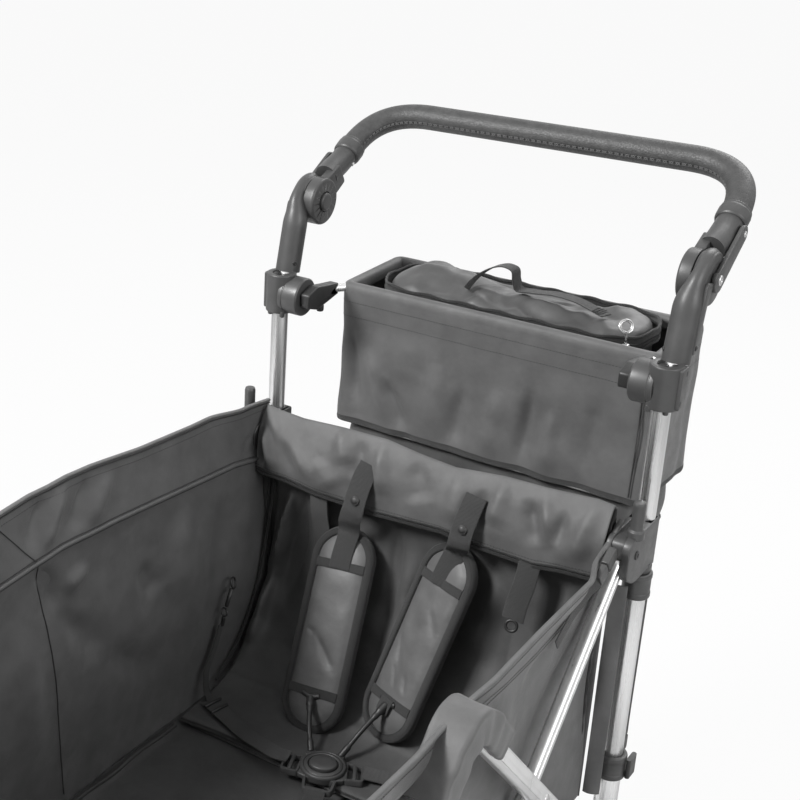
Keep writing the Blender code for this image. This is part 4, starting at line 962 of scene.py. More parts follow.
def make_upper_arms():
    """Tilting arms: the joint's inner disc and stepped button, the straight arm, its outer cheek and ring."""
    reach = np.array([0.0375, 0.05, 0.072, 0.097])
    x = np.array([0.259, 0.26, 0.26, 0.26])
    path = smooth_line(on_arm(x, reach, np.array([0.008, 0.006, 0.002, 0.0])), 36)
    size = np.stack([np.full(36, 0.0158), np.linspace(0.0172, 0.0158, 36)], axis=1)
    arm = carried(path, round_outline(1, 1, 40), size, (1, 0, 0), 0.0012)
    centre = at_joint(0.2415)
    disc = [
        (0.0142, 0.0), (0.0285, 0.0), (0.0308, 0.0012), (JOINT_RADIUS, 0.003), (JOINT_RADIUS, 0.0158),
        (0, 0.0158),
    ]
    disc = lathe(disc, centre, X_AXIS, 0.0009, 64)
    well = lathe([(0.0142, 0.0), (0.0138, 0.0035), (0, 0.0035)], centre, X_AXIS, 0.0003)
    sides = []
    hub = bar_outline((0.0, 0.0), (0.078, -0.001), 0.0105, 14)
    hub = np.where(hub[:, :1] < 0, hub * 1.45, hub)
    neck = soften([(0.01, -0.014), (0.055, -0.013), (0.055, 0.017), (0.01, 0.022)], 0.004, True, 5)
    for outline, low, high in ((hub, 0.2765, 0.282), (neck, 0.2442, 0.2572)):
        side_plate = plate(outline, low, high, 2, 0.0014)
        sides.append(changed(side_plate, lambda points: on_arm(points[:, 2], points[:, 0], points[:, 1])))
    ring = [
        (0, RING_START - 0.002), (0.0172, RING_START - 0.002), (0.0188, RING_START),
        (0.0192, RING_START + 0.003),
        (0.0192, RING_END - 0.006), (0.0184, RING_END - 0.0045), (0.0184, RING_END - 0.001),
        (0.0178, RING_END), (0, RING_END),
    ]
    ring = lathe(ring, at_joint(POST_X), FORWARD, 0.0006, 64)
    for name, side in SIDES:
        shape = merged(arm, disc, well, *sides, ring)
        make(
            f"tilting_arm_{name}", sided(shape, side), PLASTIC, "push_handle", 42, node=f"upper_arm_{name}",
        )
        pins = merged(
            screw(on_arm(0.2468, 0.0835, -0.0075), (-0.85, 0, 0) - 0.5 * LIFT, 0.0036, 0.0014),
            screw(on_arm(0.2821, 0.078, -0.001), X_AXIS, 0.0036, 0.0012),
            screw(at_joint(0.2823), X_AXIS, 0.0062, 0.0016),
        )
        make(f"ring_screw_{name}", sided(pins, side), STEEL, "push_handle")
        button = [(0, -0.004), (0.0098, -0.004), (0.0122, -0.0026), (0.0126, 0.004), (0, 0.004)]
        button = lathe(button, at_joint(0.2418), X_AXIS, 0.0012, 48)
        make(
            f"round_button_{name}", sided(button, side), PLASTIC, f"tilt_button_{name}",
            node=f"joint_button_{name}",
        )


def make_grip():
    """Leather-covered bar: a round section with a sunk seam on its inner side, laced with black thread."""
    corners = [(-POST_X, 0.0), (-POST_X, GRIP_REACH), (POST_X, GRIP_REACH), (POST_X, 0.0)]
    flat = soften(corners, 0.082, False, 24)
    flat = evenly(raised(flat, 0.0), 400)[:, :2]
    flat = flat[(flat[:, 1] > RING_END - 0.003)]
    bar = smooth_line(on_arm(flat[:, 0], flat[:, 1]), 230)
    seam = radians(80)
    turn = np.arange(72) * 2 * pi / 72
    dip = 0.0011 * np.exp(-(((turn - seam) / 0.075) ** 2))
    section = np.stack([np.cos(turn), np.sin(turn)], axis=1) * (0.0166 - dip)[:, None]
    make("leather_grip", carried(bar, section, 1.0, LIFT, 0.003), LEATHER, "push_handle", 60, node="grip")
    along, across, up = directions(bar, LIFT)
    outwards = cos(seam) * across + sin(seam) * up
    index = np.linspace(2, len(bar) - 3, 150).astype(int)
    rows = []
    for slant in (radians(60), radians(125)):
        way = unit(along[index] * cos(slant) + np.cross(along[index], outwards[index]) * sin(slant))
        rows.append(threads_at(
            bar[index] + outwards[index] * 0.0163, way, outwards[index], 0.0062, 0.0012, 0.3, -1.2, 0.1,
        ))
    make("grip_lacing", merged(*rows), LACING, "push_handle")


make_clamps()
make_lower_arms()
make_upper_arms()
make_grip()


# Fabric tub

HALF = SPACING / 2
LEFT_RIM = [
    (-0.04, 0.735), (-0.087, 0.741), (-0.198, 0.746), (-0.3, 0.754), (-0.394, 0.766), (-0.438, 0.769),
    (-HALF, 0.768),
]
RIGHT_RIM = [
    (-0.04, 0.716), (-0.07, 0.7), (-0.105, 0.69), (-0.198, 0.691), (-0.297, 0.691), (-0.388, 0.688),
    (-HALF, 0.694),
]
LEFT_SEAM = [(-0.04, 0.655), (-0.126, 0.671), (-0.248, 0.681), (-0.367, 0.691), (-HALF, 0.697)]
RIGHT_SEAM = [(-0.04, 0.655), (-0.126, 0.638), (-0.248, 0.634), (-0.367, 0.636), (-HALF, 0.64)]
FLOOR_Z = 0.346
WALL_FOOT = 0.3235
WALL_LIMIT = 0.2466
REAR_HALF = 0.2405
FLOOR_HALF = 0.2335


def along_wall(line, back):
    """Height of a line of the wall, the same before and behind the wagon's middle."""
    line = np.array(line)[::-1]
    mirrored_back = np.where(back < -HALF, -SPACING - back, back)
    return np.interp(mirrored_back, line[:, 0], line[:, 1])


def creases(a, b, lines):
    """Folds of cloth: each line adds rise * exp(-(distance / width)^2), wider towards its end.

    The rise grows from nothing over the first part of the line and fades over the last. A line is given
    in millimetres: its start, its end, its width and its rise.
    """
    height = np.zeros(np.broadcast(a, b).shape)
    for a0, b0, a1, b1, width, rise in np.array(lines) / 1000:
        da, db = a1 - a0, b1 - b0
        t = np.clip(((a - a0) * da + (b - b0) * db) / (da * da + db * db), 0, 1)
        gap = np.hypot(a - a0 - t * da, b - b0 - t * db)
        share = 1.3 * smooth_step(t, -0.05, 0.35) * (1 - 0.75 * smooth_step(t, 0.65, 1.0))
        height = height + rise * share * np.exp(-((gap / (width * (0.6 + 0.8 * t))) ** 2))
    return height


def ripples(a, b, seed, length, height, waves=8):
    """Uneven cloth: seeded sines in different directions and lengths, summed."""
    draw = np.random.default_rng(seed)
    total = np.zeros(np.broadcast(a, b).shape)
    for _ in range(waves):
        turn, phase, stretch = draw.uniform(0, pi), draw.uniform(0, 2 * pi), draw.uniform(0.6, 1.8)
        total = total + np.sin((a * cos(turn) + b * sin(turn)) * 2 * pi / (length * stretch) + phase)
    return height * total / waves**0.5


def thicken(piece, thickness, offset=0):
    """Live thickness of a sheet of cloth."""
    solid = piece.modifiers.new("thickness", "SOLIDIFY")
    solid.thickness = thickness
    solid.offset = offset


def cloth(name, grid, finish, body, flat, held, thickness=0.0014, **more):
    """Sheet of fabric: a grid with a live thickness."""
    piece = make(name, grid_shape(np.asarray(grid)), finish, body, 60)
    thicken(piece, thickness)
    return piece


def fold_with_frame(piece):
    """Fabric piece given a mesh of its own."""
    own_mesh(piece)
    return piece


LEFT_FOLDS = [
    (-508, 690, -477, 614, 16, -6), (-477, 614, -396, 522, 18, -7),
    (-396, 522, -277, 437, 22, -7), (-420, 655, -470, 640, 10, 5),
    (-330, 610, -296, 550, 18, -8), (-235, 655, -250, 520, 30, 7),
    (-150, 640, -185, 430, 26, -7), (-437, 768, -500, 700, 9, 6),
    (-400, 760, -452, 695, 12, -6), (-356, 750, -420, 700, 13, 5),
    (-478, 765, -520, 705, 10, -5), (-75, 700, -100, 665, 10, -4),
    (-540, 640, -530, 420, 20, 6), (-620, 660, -660, 420, 30, -6),
    (-760, 640, -720, 400, 32, 6), (-560, 765, -600, 700, 16, 4),
]
RIGHT_FOLDS = [
    (-469, 690, -300, 600, 20, 4), (-469, 680, -360, 520, 18, 4),
    (-469, 670, -470, 480, 20, -6), (-469, 690, -640, 600, 18, -5),
    (-137, 600, -230, 470, 20, 4), (-120, 660, -280, 600, 10, 3),
    (-330, 640, -280, 430, 30, -6), (-560, 640, -640, 420, 30, 5),
    (-740, 640, -700, 420, 32, -6), (-200, 420, -420, 360, 24, -5),
]


def wall_surface(side, back, height):
    """Distance of a side wall from the middle plane: a sagging lower panel and a band that leans out.

    The lower panel is a straight line with a half sine of sag, the band a rising power of its height.
    """
    rim = along_wall(LEFT_RIM if side < 0 else RIGHT_RIM, back)
    seam = along_wall(LEFT_SEAM if side < 0 else RIGHT_SEAM, back)
    low = np.clip((height - FLOOR_Z) / (seam - FLOOR_Z), 0, 1)
    high = np.clip((height - seam) / (rim - seam), 0, 1)
    lean = 0.0175 - 0.0145 * smooth_step(np.abs(back + HALF), HALF - 0.16, HALF - 0.1)
    inwards = 1.1 * creases(back, height, LEFT_FOLDS if side < 0 else RIGHT_FOLDS)
    inwards = inwards + ripples(
        back, height, 5 + side, 0.16, 0.0012,
    ) + ripples(back, height, 9, 0.05, 0.0003)
    ends = smooth_step(HALF - np.abs(back + HALF), 0.052, 0.085)
    seam_hold = 1 - 0.85 * np.exp(-(((height - seam) / 0.01) ** 2))
    rim_hold = 1 - 0.8 * np.exp(-(((height - rim) / 0.012) ** 2))
    x = 0.2385 + 0.004 * low - 0.0075 * np.sin(pi * low) ** 2 + lean * high**1.4 + 0.003 * np.sin(pi * high)
    x = x - inwards * ends * seam_hold * rim_hold
    bar_top = TOP_PIVOT_Z + 0.03 - np.abs(np.abs(back + HALF) - HALF + PIVOT) * 0.9
    limit = np.where(
        height < np.maximum(bar_top, 0.6), WALL_LIMIT, WALL_LIMIT + 0.5 * np.maximum(height - bar_top, 0),
    )
    return np.minimum(x, np.maximum(limit, WALL_LIMIT))


def wall_line(side, backs, rise_from, rise=0.0, out=0.0):
    """Line on the wall that follows its rim, its seam or a height."""
    height = along_wall(rise_from, backs) + rise if isinstance(rise_from, list) else rise_from + 0 * backs
    x = wall_surface(side, backs, height) + out
    return placed(side * x, backs, height)


def make_side_walls():
    """Side walls with a hemmed rim, a corded seam under the band, thin black cords of painted shade beside
    them, and their stitches.
    """
    backs = np.linspace(-0.0405, -SPACING + 0.0405, 250)
    for name, side in SIDES:
        rim_line = LEFT_RIM if side < 0 else RIGHT_RIM
        seam_line = LEFT_SEAM if side < 0 else RIGHT_SEAM
        rim = along_wall(rim_line, backs)
        t = np.linspace(0, 1, 100)[:, None]
        height = WALL_FOOT + (rim - WALL_FOOT) * t
        back = np.broadcast_to(backs, height.shape)
        grid = placed(side * wall_surface(side, back, height), back, height)
        wall = cloth(
            f"tub_wall_{name}", grid, FABRIC, "rear_top", (0.86, 0.44), "stretched",
            rests_on=["floor_and_seats"],
        )
        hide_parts(f"side_wall_{name}")
        hem = make(
            f"wall_hem_{name}",
            cord(wall_line(side, backs, rim_line, 0.0005, 0.0003), 0.0022, 0.0032, 16, Z_AXIS), FABRIC,
        )
        ridge = make(
            f"wall_cord_{name}",
            cord(wall_line(side, backs, seam_line, 0, -0.0022), 0.0026, 0.0026, 14, Z_AXIS), FABRIC,
        )
        # thin black cords along the foot of the hem and on both sides of the seam ridge: painted shade in the
        # crevices
        crevice_shade_cords = merged(
            cord(wall_line(side, backs, rim_line, -0.0032, -0.0016), 0.0009, 0.0009, 8, Z_AXIS),
            cord(wall_line(side, backs, seam_line, -0.0042, -0.0012), 0.0011, 0.0011, 8, Z_AXIS),
            cord(wall_line(side, backs, seam_line, 0.0036, -0.001), 0.0006, 0.0006, 8, Z_AXIS),
        )
        crevice_shade_cords = make(f"wall_crevice_shade_{name}", crevice_shade_cords, PIPING)
        rows = []
        for line, rise, out in (
            (rim_line, -0.012, -0.0008), (seam_line, 0.0, 0.0012), (seam_line, 0.007, 0.0012),
            (rim_line, -0.012, 0.0012),
        ):
            path = wall_line(side, backs, line, rise, out)
            rows.append(stitches(path, (side * (1 if out > 0 else -1), 0, 0), 0.0042, 0.003, 0.0008))
        rows = make(f"wall_stitches_{name}", merged(*rows), THREAD)
        for piece in (wall, hem, ridge, crevice_shade_cords, rows):
            fold_with_frame(piece)
        turn = np.linspace(0, 1, 40)
        inner = []
        mid = -HALF - 0.04
        high = float(along_wall(seam_line, np.array([mid]))[0])
        top = float(along_wall(rim_line, np.array([mid - 0.06]))[0])
        for end, shift, width in ((0.36, 0.03, 0.0009), (top, -0.055, 0.0008)):
            path_z = high + (end - high) * turn
            path_back = mid + shift * turn
            x = wall_surface(side, path_back, path_z) - 0.0012
            line = placed(side * x, path_back, path_z)
            inner.append(cord(line, width, 0.0007, 8))
        fold_with_frame(make(f"wall_panel_seam_{name}", merged(*inner), PIPING))


FLAP_RIM = [
    (-0.2576, 0.7354), (-0.22, 0.7305), (-0.1827, 0.7284), (-0.1228, 0.7324), (-0.0581, 0.734),
    (-0.0107, 0.7278),
    (0.039, 0.7242), (0.1048, 0.7322), (0.1551, 0.7333), (0.2206, 0.7384), (0.2576, 0.7345),
]
FLAP_LOW = [
    (-0.2576, 0.65), (-0.2284, 0.6447), (-0.1932, 0.6439), (-0.1482, 0.6391), (-0.0983, 0.639),
    (-0.0669, 0.6377),
    (0.0358, 0.6448), (0.0771, 0.6407), (0.1594, 0.6392), (0.1922, 0.6455), (0.2576, 0.65),
]
FLAP_FOLDS = [
    (-236, 730, -135, 645, 12, 7.5), (-232, 712, -212, 650, 6, 10),
    (-220, 730, -170, 650, 12, -6), (-236, 690, -228, 650, 6, -8),
    (-123, 732, -104, 690, 12, 5), (-90, 728, -88, 672, 14, -5),
    (-60, 732, -50, 664, 12, 6.5), (-12, 722, 10, 672, 18, -5),
    (53, 728, 50, 655, 16, 6), (85, 715, 80, 660, 12, -5),
    (110, 730, 102, 672, 12, 6.5), (140, 720, 165, 665, 12, -6),
    (158, 732, 190, 648, 10, 7), (222, 736, 205, 655, 12, 7),
    (190, 720, 175, 650, 10, -6), (-150, 690, -120, 650, 14, 5),
]


def flap_surface(x, share):
    """Flap over the rear wall: a rounded turn over the rim, then a bulging front down to its piped edge.

    The share runs from 0 at the back of the rim to 1 at the edge, over arcs set by sines and powers.
    """
    rim = np.interp(x, *np.array(FLAP_RIM).T)
    low = np.interp(x, *np.array(FLAP_LOW).T)
    t = np.clip((share - 0.12) / 0.88, 0, 1)
    turn = np.clip(share / 0.12, 0, 1)
    back = np.where(share < 0.12, -0.0465 - 0.0045 * (1 - np.cos(turn * pi)) / 2, 0)
    back = np.where(
        share >= 0.12, -0.051 - 0.0225 * np.sin(t * pi / 2) ** 0.8 - 0.004 * np.sin(pi * t), back,
    )
    z = np.where(share < 0.12, rim - 0.01 + 0.01 * np.sin(turn * pi / 2), rim - (rim - low) * t**1.15)
    hold = 1 - 0.7 * np.exp(-((t - 1) / 0.06) ** 2) if np.ndim(t) else 1
    rise = 1.1 * creases(x, z, FLAP_FOLDS) + ripples(x, z, 3, 0.06, 0.0006)
    rise = rise * np.clip(share / 0.2, 0.1, 1) * hold
    return back - 0.8 * rise, z + 0.25 * rise


def make_rear_wall():
    """Rear wall, the flap folded over it with its double piping, and the piped corners."""
    x = np.linspace(-REAR_HALF, REAR_HALF, 170)
    rim = np.interp(x, *np.array(FLAP_RIM).T) - 0.006
    t = np.linspace(0, 1, 90)[:, None]
    z = WALL_FOOT + (rim - WALL_FOOT) * t
    wide = np.broadcast_to(x, z.shape)
    bulge = ripples(wide, z, 12, 0.14, 0.0011) * np.sin(pi * t)
    panel = placed(wide, -0.0425 + bulge, z)
    wall = cloth(
        "rear_panel", panel, FABRIC, "rear_top", (0.47, 0.42), "stretched", rests_on=["floor_and_seats"],
    )
    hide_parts("rear_wall")

    wide = np.linspace(-REAR_HALF, REAR_HALF, 260)
    share = np.linspace(0, 1, 64)[:, None]
    spread = np.broadcast_to(wide, (64, 260))
    back, z = flap_surface(spread, np.broadcast_to(share, spread.shape))
    flap = placed(spread, back, z)
    cloth("rear_flap", flap, FABRIC, "rear_top", (0.5, 0.13), "folded", rests_on=["rear_panel"])

    back, z = flap_surface(wide, np.ones_like(wide))
    edge = placed(wide, back, z)
    piping = merged(
        cord(edge + (0, -0.0006, -0.001), 0.0026, 0.0026, 14, Z_AXIS),
        cord(edge + (0, -0.0022, 0.0042), 0.0014, 0.0014, 10, Z_AXIS),
    )
    make("flap_piping", piping, PIPING)
    back, z = flap_surface(wide, np.full_like(wide, 0.93))
    row = placed(wide, back - 0.0012, z)
    make("flap_stitches", stitches(row, (0, -1, 0.3), 0.004, 0.0028, 0.0008), THREAD)

    for name, side in SIDES:
        t = np.linspace(0, 1, 24)
        z = np.linspace(0.334, 0.632, 90)[:, None]
        gusset_x = 0.2445 + 0.0185 * t + 0 * z
        gusset_back = -0.0435 + 0.0062 * t**2 + 0.0016 * np.sin(pi * t) * np.sin(z * 34)
        grid = placed(side * gusset_x, gusset_back, z + 0 * t)
        cloth(
            f"corner_gusset_{name}", grid, FABRIC, "rear_top", (0.3, 0.02), "stretched",
            rests_on=["rear_panel"],
        )
        corner = [
            (240, -50, 733), (239.5, -55.5, 715), (239, -58, 683), (237.5, -58, 641),
            (236, -54.5, 590), (235, -52, 549), (234.5, -50, 450), (234, -50, 360),
        ]
        line = through(corner, 110)
        wavy = line + np.stack([0.0007 * np.sin(line[:, 2] * 210), 0 * line[:, 0], 0 * line[:, 0]], axis=1)
        shape = merged(
            cord(wavy, 0.0024, 0.0024, 12, Y_AXIS),
            cord(wavy + (-0.0042, 0.0012, 0), 0.0019, 0.0019, 12, Y_AXIS),
        )
        make(f"corner_piping_{name}", sided(shape, side), PIPING)


def make_front_wall():
    """Front wall with a hemmed rim."""
    x = np.linspace(-0.2345, 0.2345, 150)
    t = np.linspace(0, 1, 70)[:, None]
    rim = 0.726 - 0.01 * np.cos(x / 0.2345 * pi / 2) ** 2
    z = WALL_FOOT + (rim - WALL_FOOT) * t
    wide = np.broadcast_to(x, z.shape)
    bulge = (ripples(wide, z, 31, 0.13, 0.0013) + creases(wide, z, [
        (-200, 700, -110, 450, 20, 4), (190, 700, 100, 480, 20, -4),
        (0, 600, 50, 400, 30, 4), (-50, 700, -20, 620, 12, 4),
    ])) * np.sin(pi * np.clip(t * 0.93, 0, 1))
    panel = placed(wide, -SPACING + 0.0425 + bulge, z)
    wall = cloth(
        "front_panel", panel, FABRIC, "front_top", (0.47, 0.4), "stretched", rests_on=["floor_and_seats"],
    )
    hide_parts("front_wall")
    rim_line = panel[-1]
    hem = cord(rim_line + (0, 0, 0.0008), 0.0042, 0.003, 16, Z_AXIS)
    make("front_rim", hem, FABRIC, "front_top")
    rows = [
        stitches(panel[row] + (0, out * 0.0011, 0), (0, out, 0), 0.0042, 0.003, 0.0008)
        for row in (66, 64) for out in (-1, 1)
    ]
    make("front_stitches", merged(*rows), THREAD, "front_top")


def inflated(piece, voxel, cap, pressure=4.0):
    """Padded form: cloth with air inside it, each point moved by no more than the cap."""
    scene = bpy.context.scene
    for other in scene.objects:
        other.select_set(False)
    bpy.context.view_layer.objects.active = piece
    piece.select_set(True)
    remesh = piece.modifiers.new("remesh", "REMESH")
    remesh.mode = "VOXEL"
    remesh.voxel_size = voxel
    bpy.ops.object.modifier_apply(modifier=remesh.name)
    count = len(piece.data.vertices)
    rest = np.zeros(count * 3)
    piece.data.vertices.foreach_get("co", rest)
    rest = rest.reshape(-1, 3)
    cloth_step = piece.modifiers.new("air", "CLOTH")
    settings = cloth_step.settings
    settings.use_pressure = True
    settings.uniform_pressure_force = pressure
    settings.effector_weights.gravity = 0
    settings.quality = 5
    settings.tension_stiffness = 12
    settings.bending_stiffness = 0.3
    cloth_step.point_cache.frame_start = 1
    cloth_step.point_cache.frame_end = 20
    for number in range(1, 21):
        scene.frame_set(number)
    graph = bpy.context.evaluated_depsgraph_get()
    swollen = piece.evaluated_get(graph).to_mesh()
    moved = np.zeros(count * 3)
    swollen.vertices.foreach_get("co", moved)
    piece.evaluated_get(graph).to_mesh_clear()
    piece.modifiers.remove(cloth_step)
    way = moved.reshape(-1, 3) - rest
    size = np.linalg.norm(way, axis=1, keepdims=True)
    way = way * np.minimum(1, cap / np.maximum(size, 1e-9))
    piece.data.vertices.foreach_set("co", (rest + way).ravel())
    scene.frame_set(1)
    finer = piece.modifiers.new("finer", "SUBSURF")
    finer.levels = 1
    finer.render_levels = 1
    bpy.ops.object.modifier_apply(modifier=finer.name)
    piece.data.shade_smooth()
    return piece


def pad_shape(outline, rings, place):
    """Pad from rings of an outline inset along its normals, each an (inset, height)."""
    rings = np.asarray(rings, float)
    flat = insets(outline, rings[:, 0])
    grid = np.concatenate([flat, np.broadcast_to(rings[:, 1, None, None], flat.shape[:2] + (1,))], axis=2)
    points, quads, uvs, _ = grid_shape(grid, closed_columns=True)
    count = len(outline)
    caps = [list(range(count)), list(range(len(points) - count, len(points)))]
    uvs = points[quads][:, :, :2]
    return place(points), quads, uvs, caps


def make_floor():
    """Floor mat, the black board under it, and its piped edges."""
    backs = np.linspace(-0.05, -SPACING + 0.058, 150)
    x = np.linspace(-FLOOR_HALF, FLOOR_HALF, 90)[:, None]
    back = np.broadcast_to(backs, (90, 150))
    wide = np.broadcast_to(x, back.shape)
    z = 0.3468 + ripples(wide, back, 21, 0.12, 0.0007) + 0.004 * smooth_step(np.abs(wide), 0.212, 0.233)
    mat = cloth(
        "floor_mat", placed(wide, back, z), INSIDE_SHADE_FABRIC, "rear_top", (0.84, 0.47), "laid",
        rests_on=["floor_and_seats"],
    )
    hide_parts("floor_and_seats")
    under = plate(
        box_outline(-FLOOR_HALF, FLOOR_HALF, REAR_POST - SPACING + 0.056, REAR_POST - 0.046, 0.006),
        0.3245, 0.3445,
        2, 0.003,
    )
    board = make("floor_board", under, BLACK_PLASTIC)
    pieces = [mat, board]
    for name, side in SIDES:
        line = placed(
            side * np.full(120, 0.229), np.linspace(-0.27, -SPACING + 0.27, 120), np.full(120, 0.351),
        )
        line[:, 0] += side * 0.0012 * np.sin(line[:, 1] * 60)
        shape = merged(
            cord(line, 0.0024, 0.0024, 12, Z_AXIS),
            cord(line + (-side * 0.006, 0, -0.001), 0.0012, 0.0012, 10, Z_AXIS),
        )
        pieces.append(make(f"floor_piping_{name}", shape, PIPING))
    for piece in pieces:
        fold_with_frame(piece)


make_side_walls()
make_rear_wall()
make_front_wall()
make_floor()


# Basket and bag

BASKET_LEFT, BASKET_RIGHT, BASKET_FRONT, BASKET_BACK = -0.209, 0.23, 0.07, 0.2235
BASKET_TOP, BASKET_DEPTH = 0.8635, 0.1815
BAG_SHIFT = np.array((0.0105, 0.0165, 0.0))
BAG_MIDDLE = 0.131


def basket_plan(count=360):
    """Rounded plan of the basket, its first point at the middle of the front."""
    plan = soften([
        (BASKET_LEFT, BASKET_FRONT), (BASKET_RIGHT, BASKET_FRONT), (BASKET_RIGHT, BASKET_BACK),
        (BASKET_LEFT, BASKET_BACK),
    ], 0.016, True, 12)
    return round_evenly(plan, count)


BASKET_FOLDS = [
    (-165, 800, -120, 690, 12, 5), (-190, 820, -175, 700, 10, -5),
    (-140, 760, -95, 684, 10, -5), (-60, 800, -50, 685, 18, 4),
    (-20, 780, -30, 684, 12, -4), (30, 790, 20, 684, 16, 4),
    (75, 800, 65, 684, 10, -5), (105, 780, 100, 684, 12, 5),
    (165, 820, 150, 690, 14, -4), (-100, 830, -105, 750, 20, 2),
]


def make_basket():
    """Basket: cloth that wraps over the tube loop, hangs as four soft sides, and turns in as a floor.

    Each point is the plan's, set in or out by a profile over the height, sagging by a half sine.
    """
    plan = basket_plan()
    middle = np.array((BASKET_LEFT + BASKET_RIGHT, BASKET_FRONT + BASKET_BACK)) / 2
    outwards = outward(plan)
    profile = [
        (-0.014, 0.864), (-0.014, 0.8735), (-0.0125, 0.8785), (-0.007, 0.8808), (-0.0015, 0.8785),
        (0.0, 0.8735), (0.0, 0.865),
    ]
    over = smooth_line(np.array(profile), 22)
    down = np.stack([np.zeros(70), np.linspace(BASKET_TOP, 0.682, 70)], axis=1)
    over = np.concatenate([over, down])
    height = np.broadcast_to(over[:, 1:], (len(over), len(plan))).copy()
    out = np.broadcast_to(over[:, :1], height.shape).copy()
    t = np.clip((BASKET_TOP - height) / BASKET_DEPTH, 0, 1)
    x = np.broadcast_to(plan[:, 0], height.shape)
    front = np.clip((middle[1] - plan[:, 1]) / 0.05, 0, 1)[None]
    sag = 0.0035 * np.sin(pi * t) * np.abs(outwards[:, 1])[None]
    fold = 1.3 * creases(x, height, BASKET_FOLDS) * front + ripples(
        x + plan[:, 1] * 2.3, height, 41, 0.09, 0.0012,
    )
    out = out - sag + fold * smooth_step(t, 0.0, 0.25) * 0.8
    grid = np.concatenate([plan[None] + out[..., None] * outwards[None], height[..., None]], axis=2)
    rows = []
    for share in (0.985, 0.95, 0.85, 0.6, 0.3, 0.04):
        ring = middle + (plan - middle) * share
        rows.append(raised(ring, 0.6808 - 0.0015 * (1 - share)))
    grid = np.concatenate([grid, np.stack(rows)], axis=0)
    points, quads, flat, caps = grid_shape(grid, closed_columns=True)
    shape = (places(points), quads, flat, caps)
    basket = make("basket_cloth", shape, FABRIC, "basket_unit", 60)
    thicken(basket, 0.0014)
    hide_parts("basket")

    lift = raised(outwards, 0.0)
    loop = places(raised(plan, 0.8725)) - lift * 0.007
    tubes = [closed_band(loop, lift, 0.0057, 0.0057, 16)]
    prongs = []
    for side, corner in ((-1, BASKET_LEFT + 0.0075), (1, BASKET_RIGHT - 0.0075)):
        route = [
            (side * 0.216, -0.001, 0.873), (side * 0.216, 0.03, 0.873), (side * 0.2155, 0.055, 0.8728),
            (corner, 0.086, 0.8725), (corner, 0.11, 0.8725),
        ]
        tubes.append(cord(smooth_line(places(route), 40), 0.0057, 0.0057, 18))
        outline = [
            (-0.01, 0.864), (0.012, 0.8565), (0.04, 0.861), (0.064, 0.8655), (0.064, 0.8675),
            (0.046, 0.871), (0.064, 0.8765), (0.064, 0.881), (0.036, 0.885), (0.012, 0.889), (-0.01, 0.882),
        ]
        outline = np.array(soften(outline, 0.003, True, 4)) + (REAR_POST, 0)
        prongs.append(sided(plate(outline, 0.2092, 0.2228, 0, 0.0016), side))
        knob = lathe(
            [(0, -0.004), (0.0042, -0.004), (0.005, -0.002), (0.005, 0.004), (0.0022, 0.006), (0, 0.006)],
            at(side * 0.216, 0.03, 0.853), Z_AXIS, 0.0006, 20,
        )
        prongs.append(knob)
    make("basket_loop", merged(*tubes), ALUMINIUM, "basket_unit", node="basket_frame")
    make("basket_prongs", merged(*prongs), BLACK_PLASTIC, "basket_unit")

    rows, bands = [], []
    for z in (0.8545, 0.834):
        k = int(np.argmin(np.abs(height[22:, 0] - z))) + 22
        line = places(np.concatenate([grid[k, :, :2], height[k][:, None]], axis=1))
        line = np.roll(line, 30, axis=0)
        rows.append(stitches(
            line[:-1] + raised(np.roll(outwards, 30, axis=0)[:-1], 0.0) * 0.0009, (0, -1, 0), 0.0042, 0.003,
            0.0007,
        ))
    seam_z = np.linspace(0.828, 0.69, 60)
    for x0 in (0.213, 0.216):
        fall = np.clip((BASKET_TOP - seam_z) / BASKET_DEPTH, 0, 1)
        back = BASKET_FRONT - 0.0012 + 0.0035 * np.sin(pi * fall)
        bands.append(cord(placed(np.full(60, x0), back - 0.0003, seam_z), 0.0008, 0.0008, 8))
    make("basket_stitches", merged(*rows), THREAD, "basket_unit")
    lower = places(raised(grid[-7, :, :2], 0.6845))
    ring = closed_band(lower, raised(outwards, 0.0), 0.0012, 0.0045)
    make("basket_binding", merged(ring, *bands), BINDING, "basket_unit")

    low = 0.606
    pocket = soften([(-0.193, 0.083), (0.214, 0.083), (0.214, 0.21), (-0.193, 0.21)], 0.02, True, 10)
    pocket = round_evenly(pocket, 260)
    t = np.linspace(0, 1, 26)[:, None]
    z = 0.68 + (low + 0.006 - 0.68) * t
    x = np.broadcast_to(pocket[:, 0], (26, 260))
    side = outward(pocket)
    push = 0.0045 * np.sin(pi * t) + ripples(x + pocket[:, 1], z + 0 * x, 47, 0.06, 0.0016) * np.sin(pi * t)
    walls = np.concatenate(
        [pocket[None] + push[..., None] * side[None], np.broadcast_to(z, (26, 260))[..., None]], axis=2,
    )
    rows = [
        raised(middle + (pocket - middle) * share, low + step)
        for share, step in ((0.99, 0.002), (0.95, 0), (0.6, -0.001), (0.05, -0.001))
    ]
    points, quads, flat, caps = grid_shape(np.concatenate([walls, np.stack(rows)]), closed_columns=True)
    piece = make("under_pocket", (places(points), quads, flat, caps), BAG_FABRIC, "basket_unit", 60)
    thicken(piece, 0.0012)
    seam = places(raised(walls[-1][:, :2], low + 0.005))
    lift = raised(side, 0.0)
    make("pocket_piping", closed_band(seam + lift * 0.0012, lift, 0.0022, 0.0022), PIPING, "basket_unit")


def closed_band(path, out, half_out, half_up, count=12):
    """Band round a closed path: an ellipse at each point, across its outward direction and upwards."""
    turn = np.arange(count) * 2 * pi / count
    across = np.cos(turn)[None, :, None] * out[:, None] * half_out
    upward = np.sin(turn)[None, :, None] * Z_AXIS * half_up
    return grid_shape(path[:, None] + across + upward, closed_rows=True, closed_columns=True)


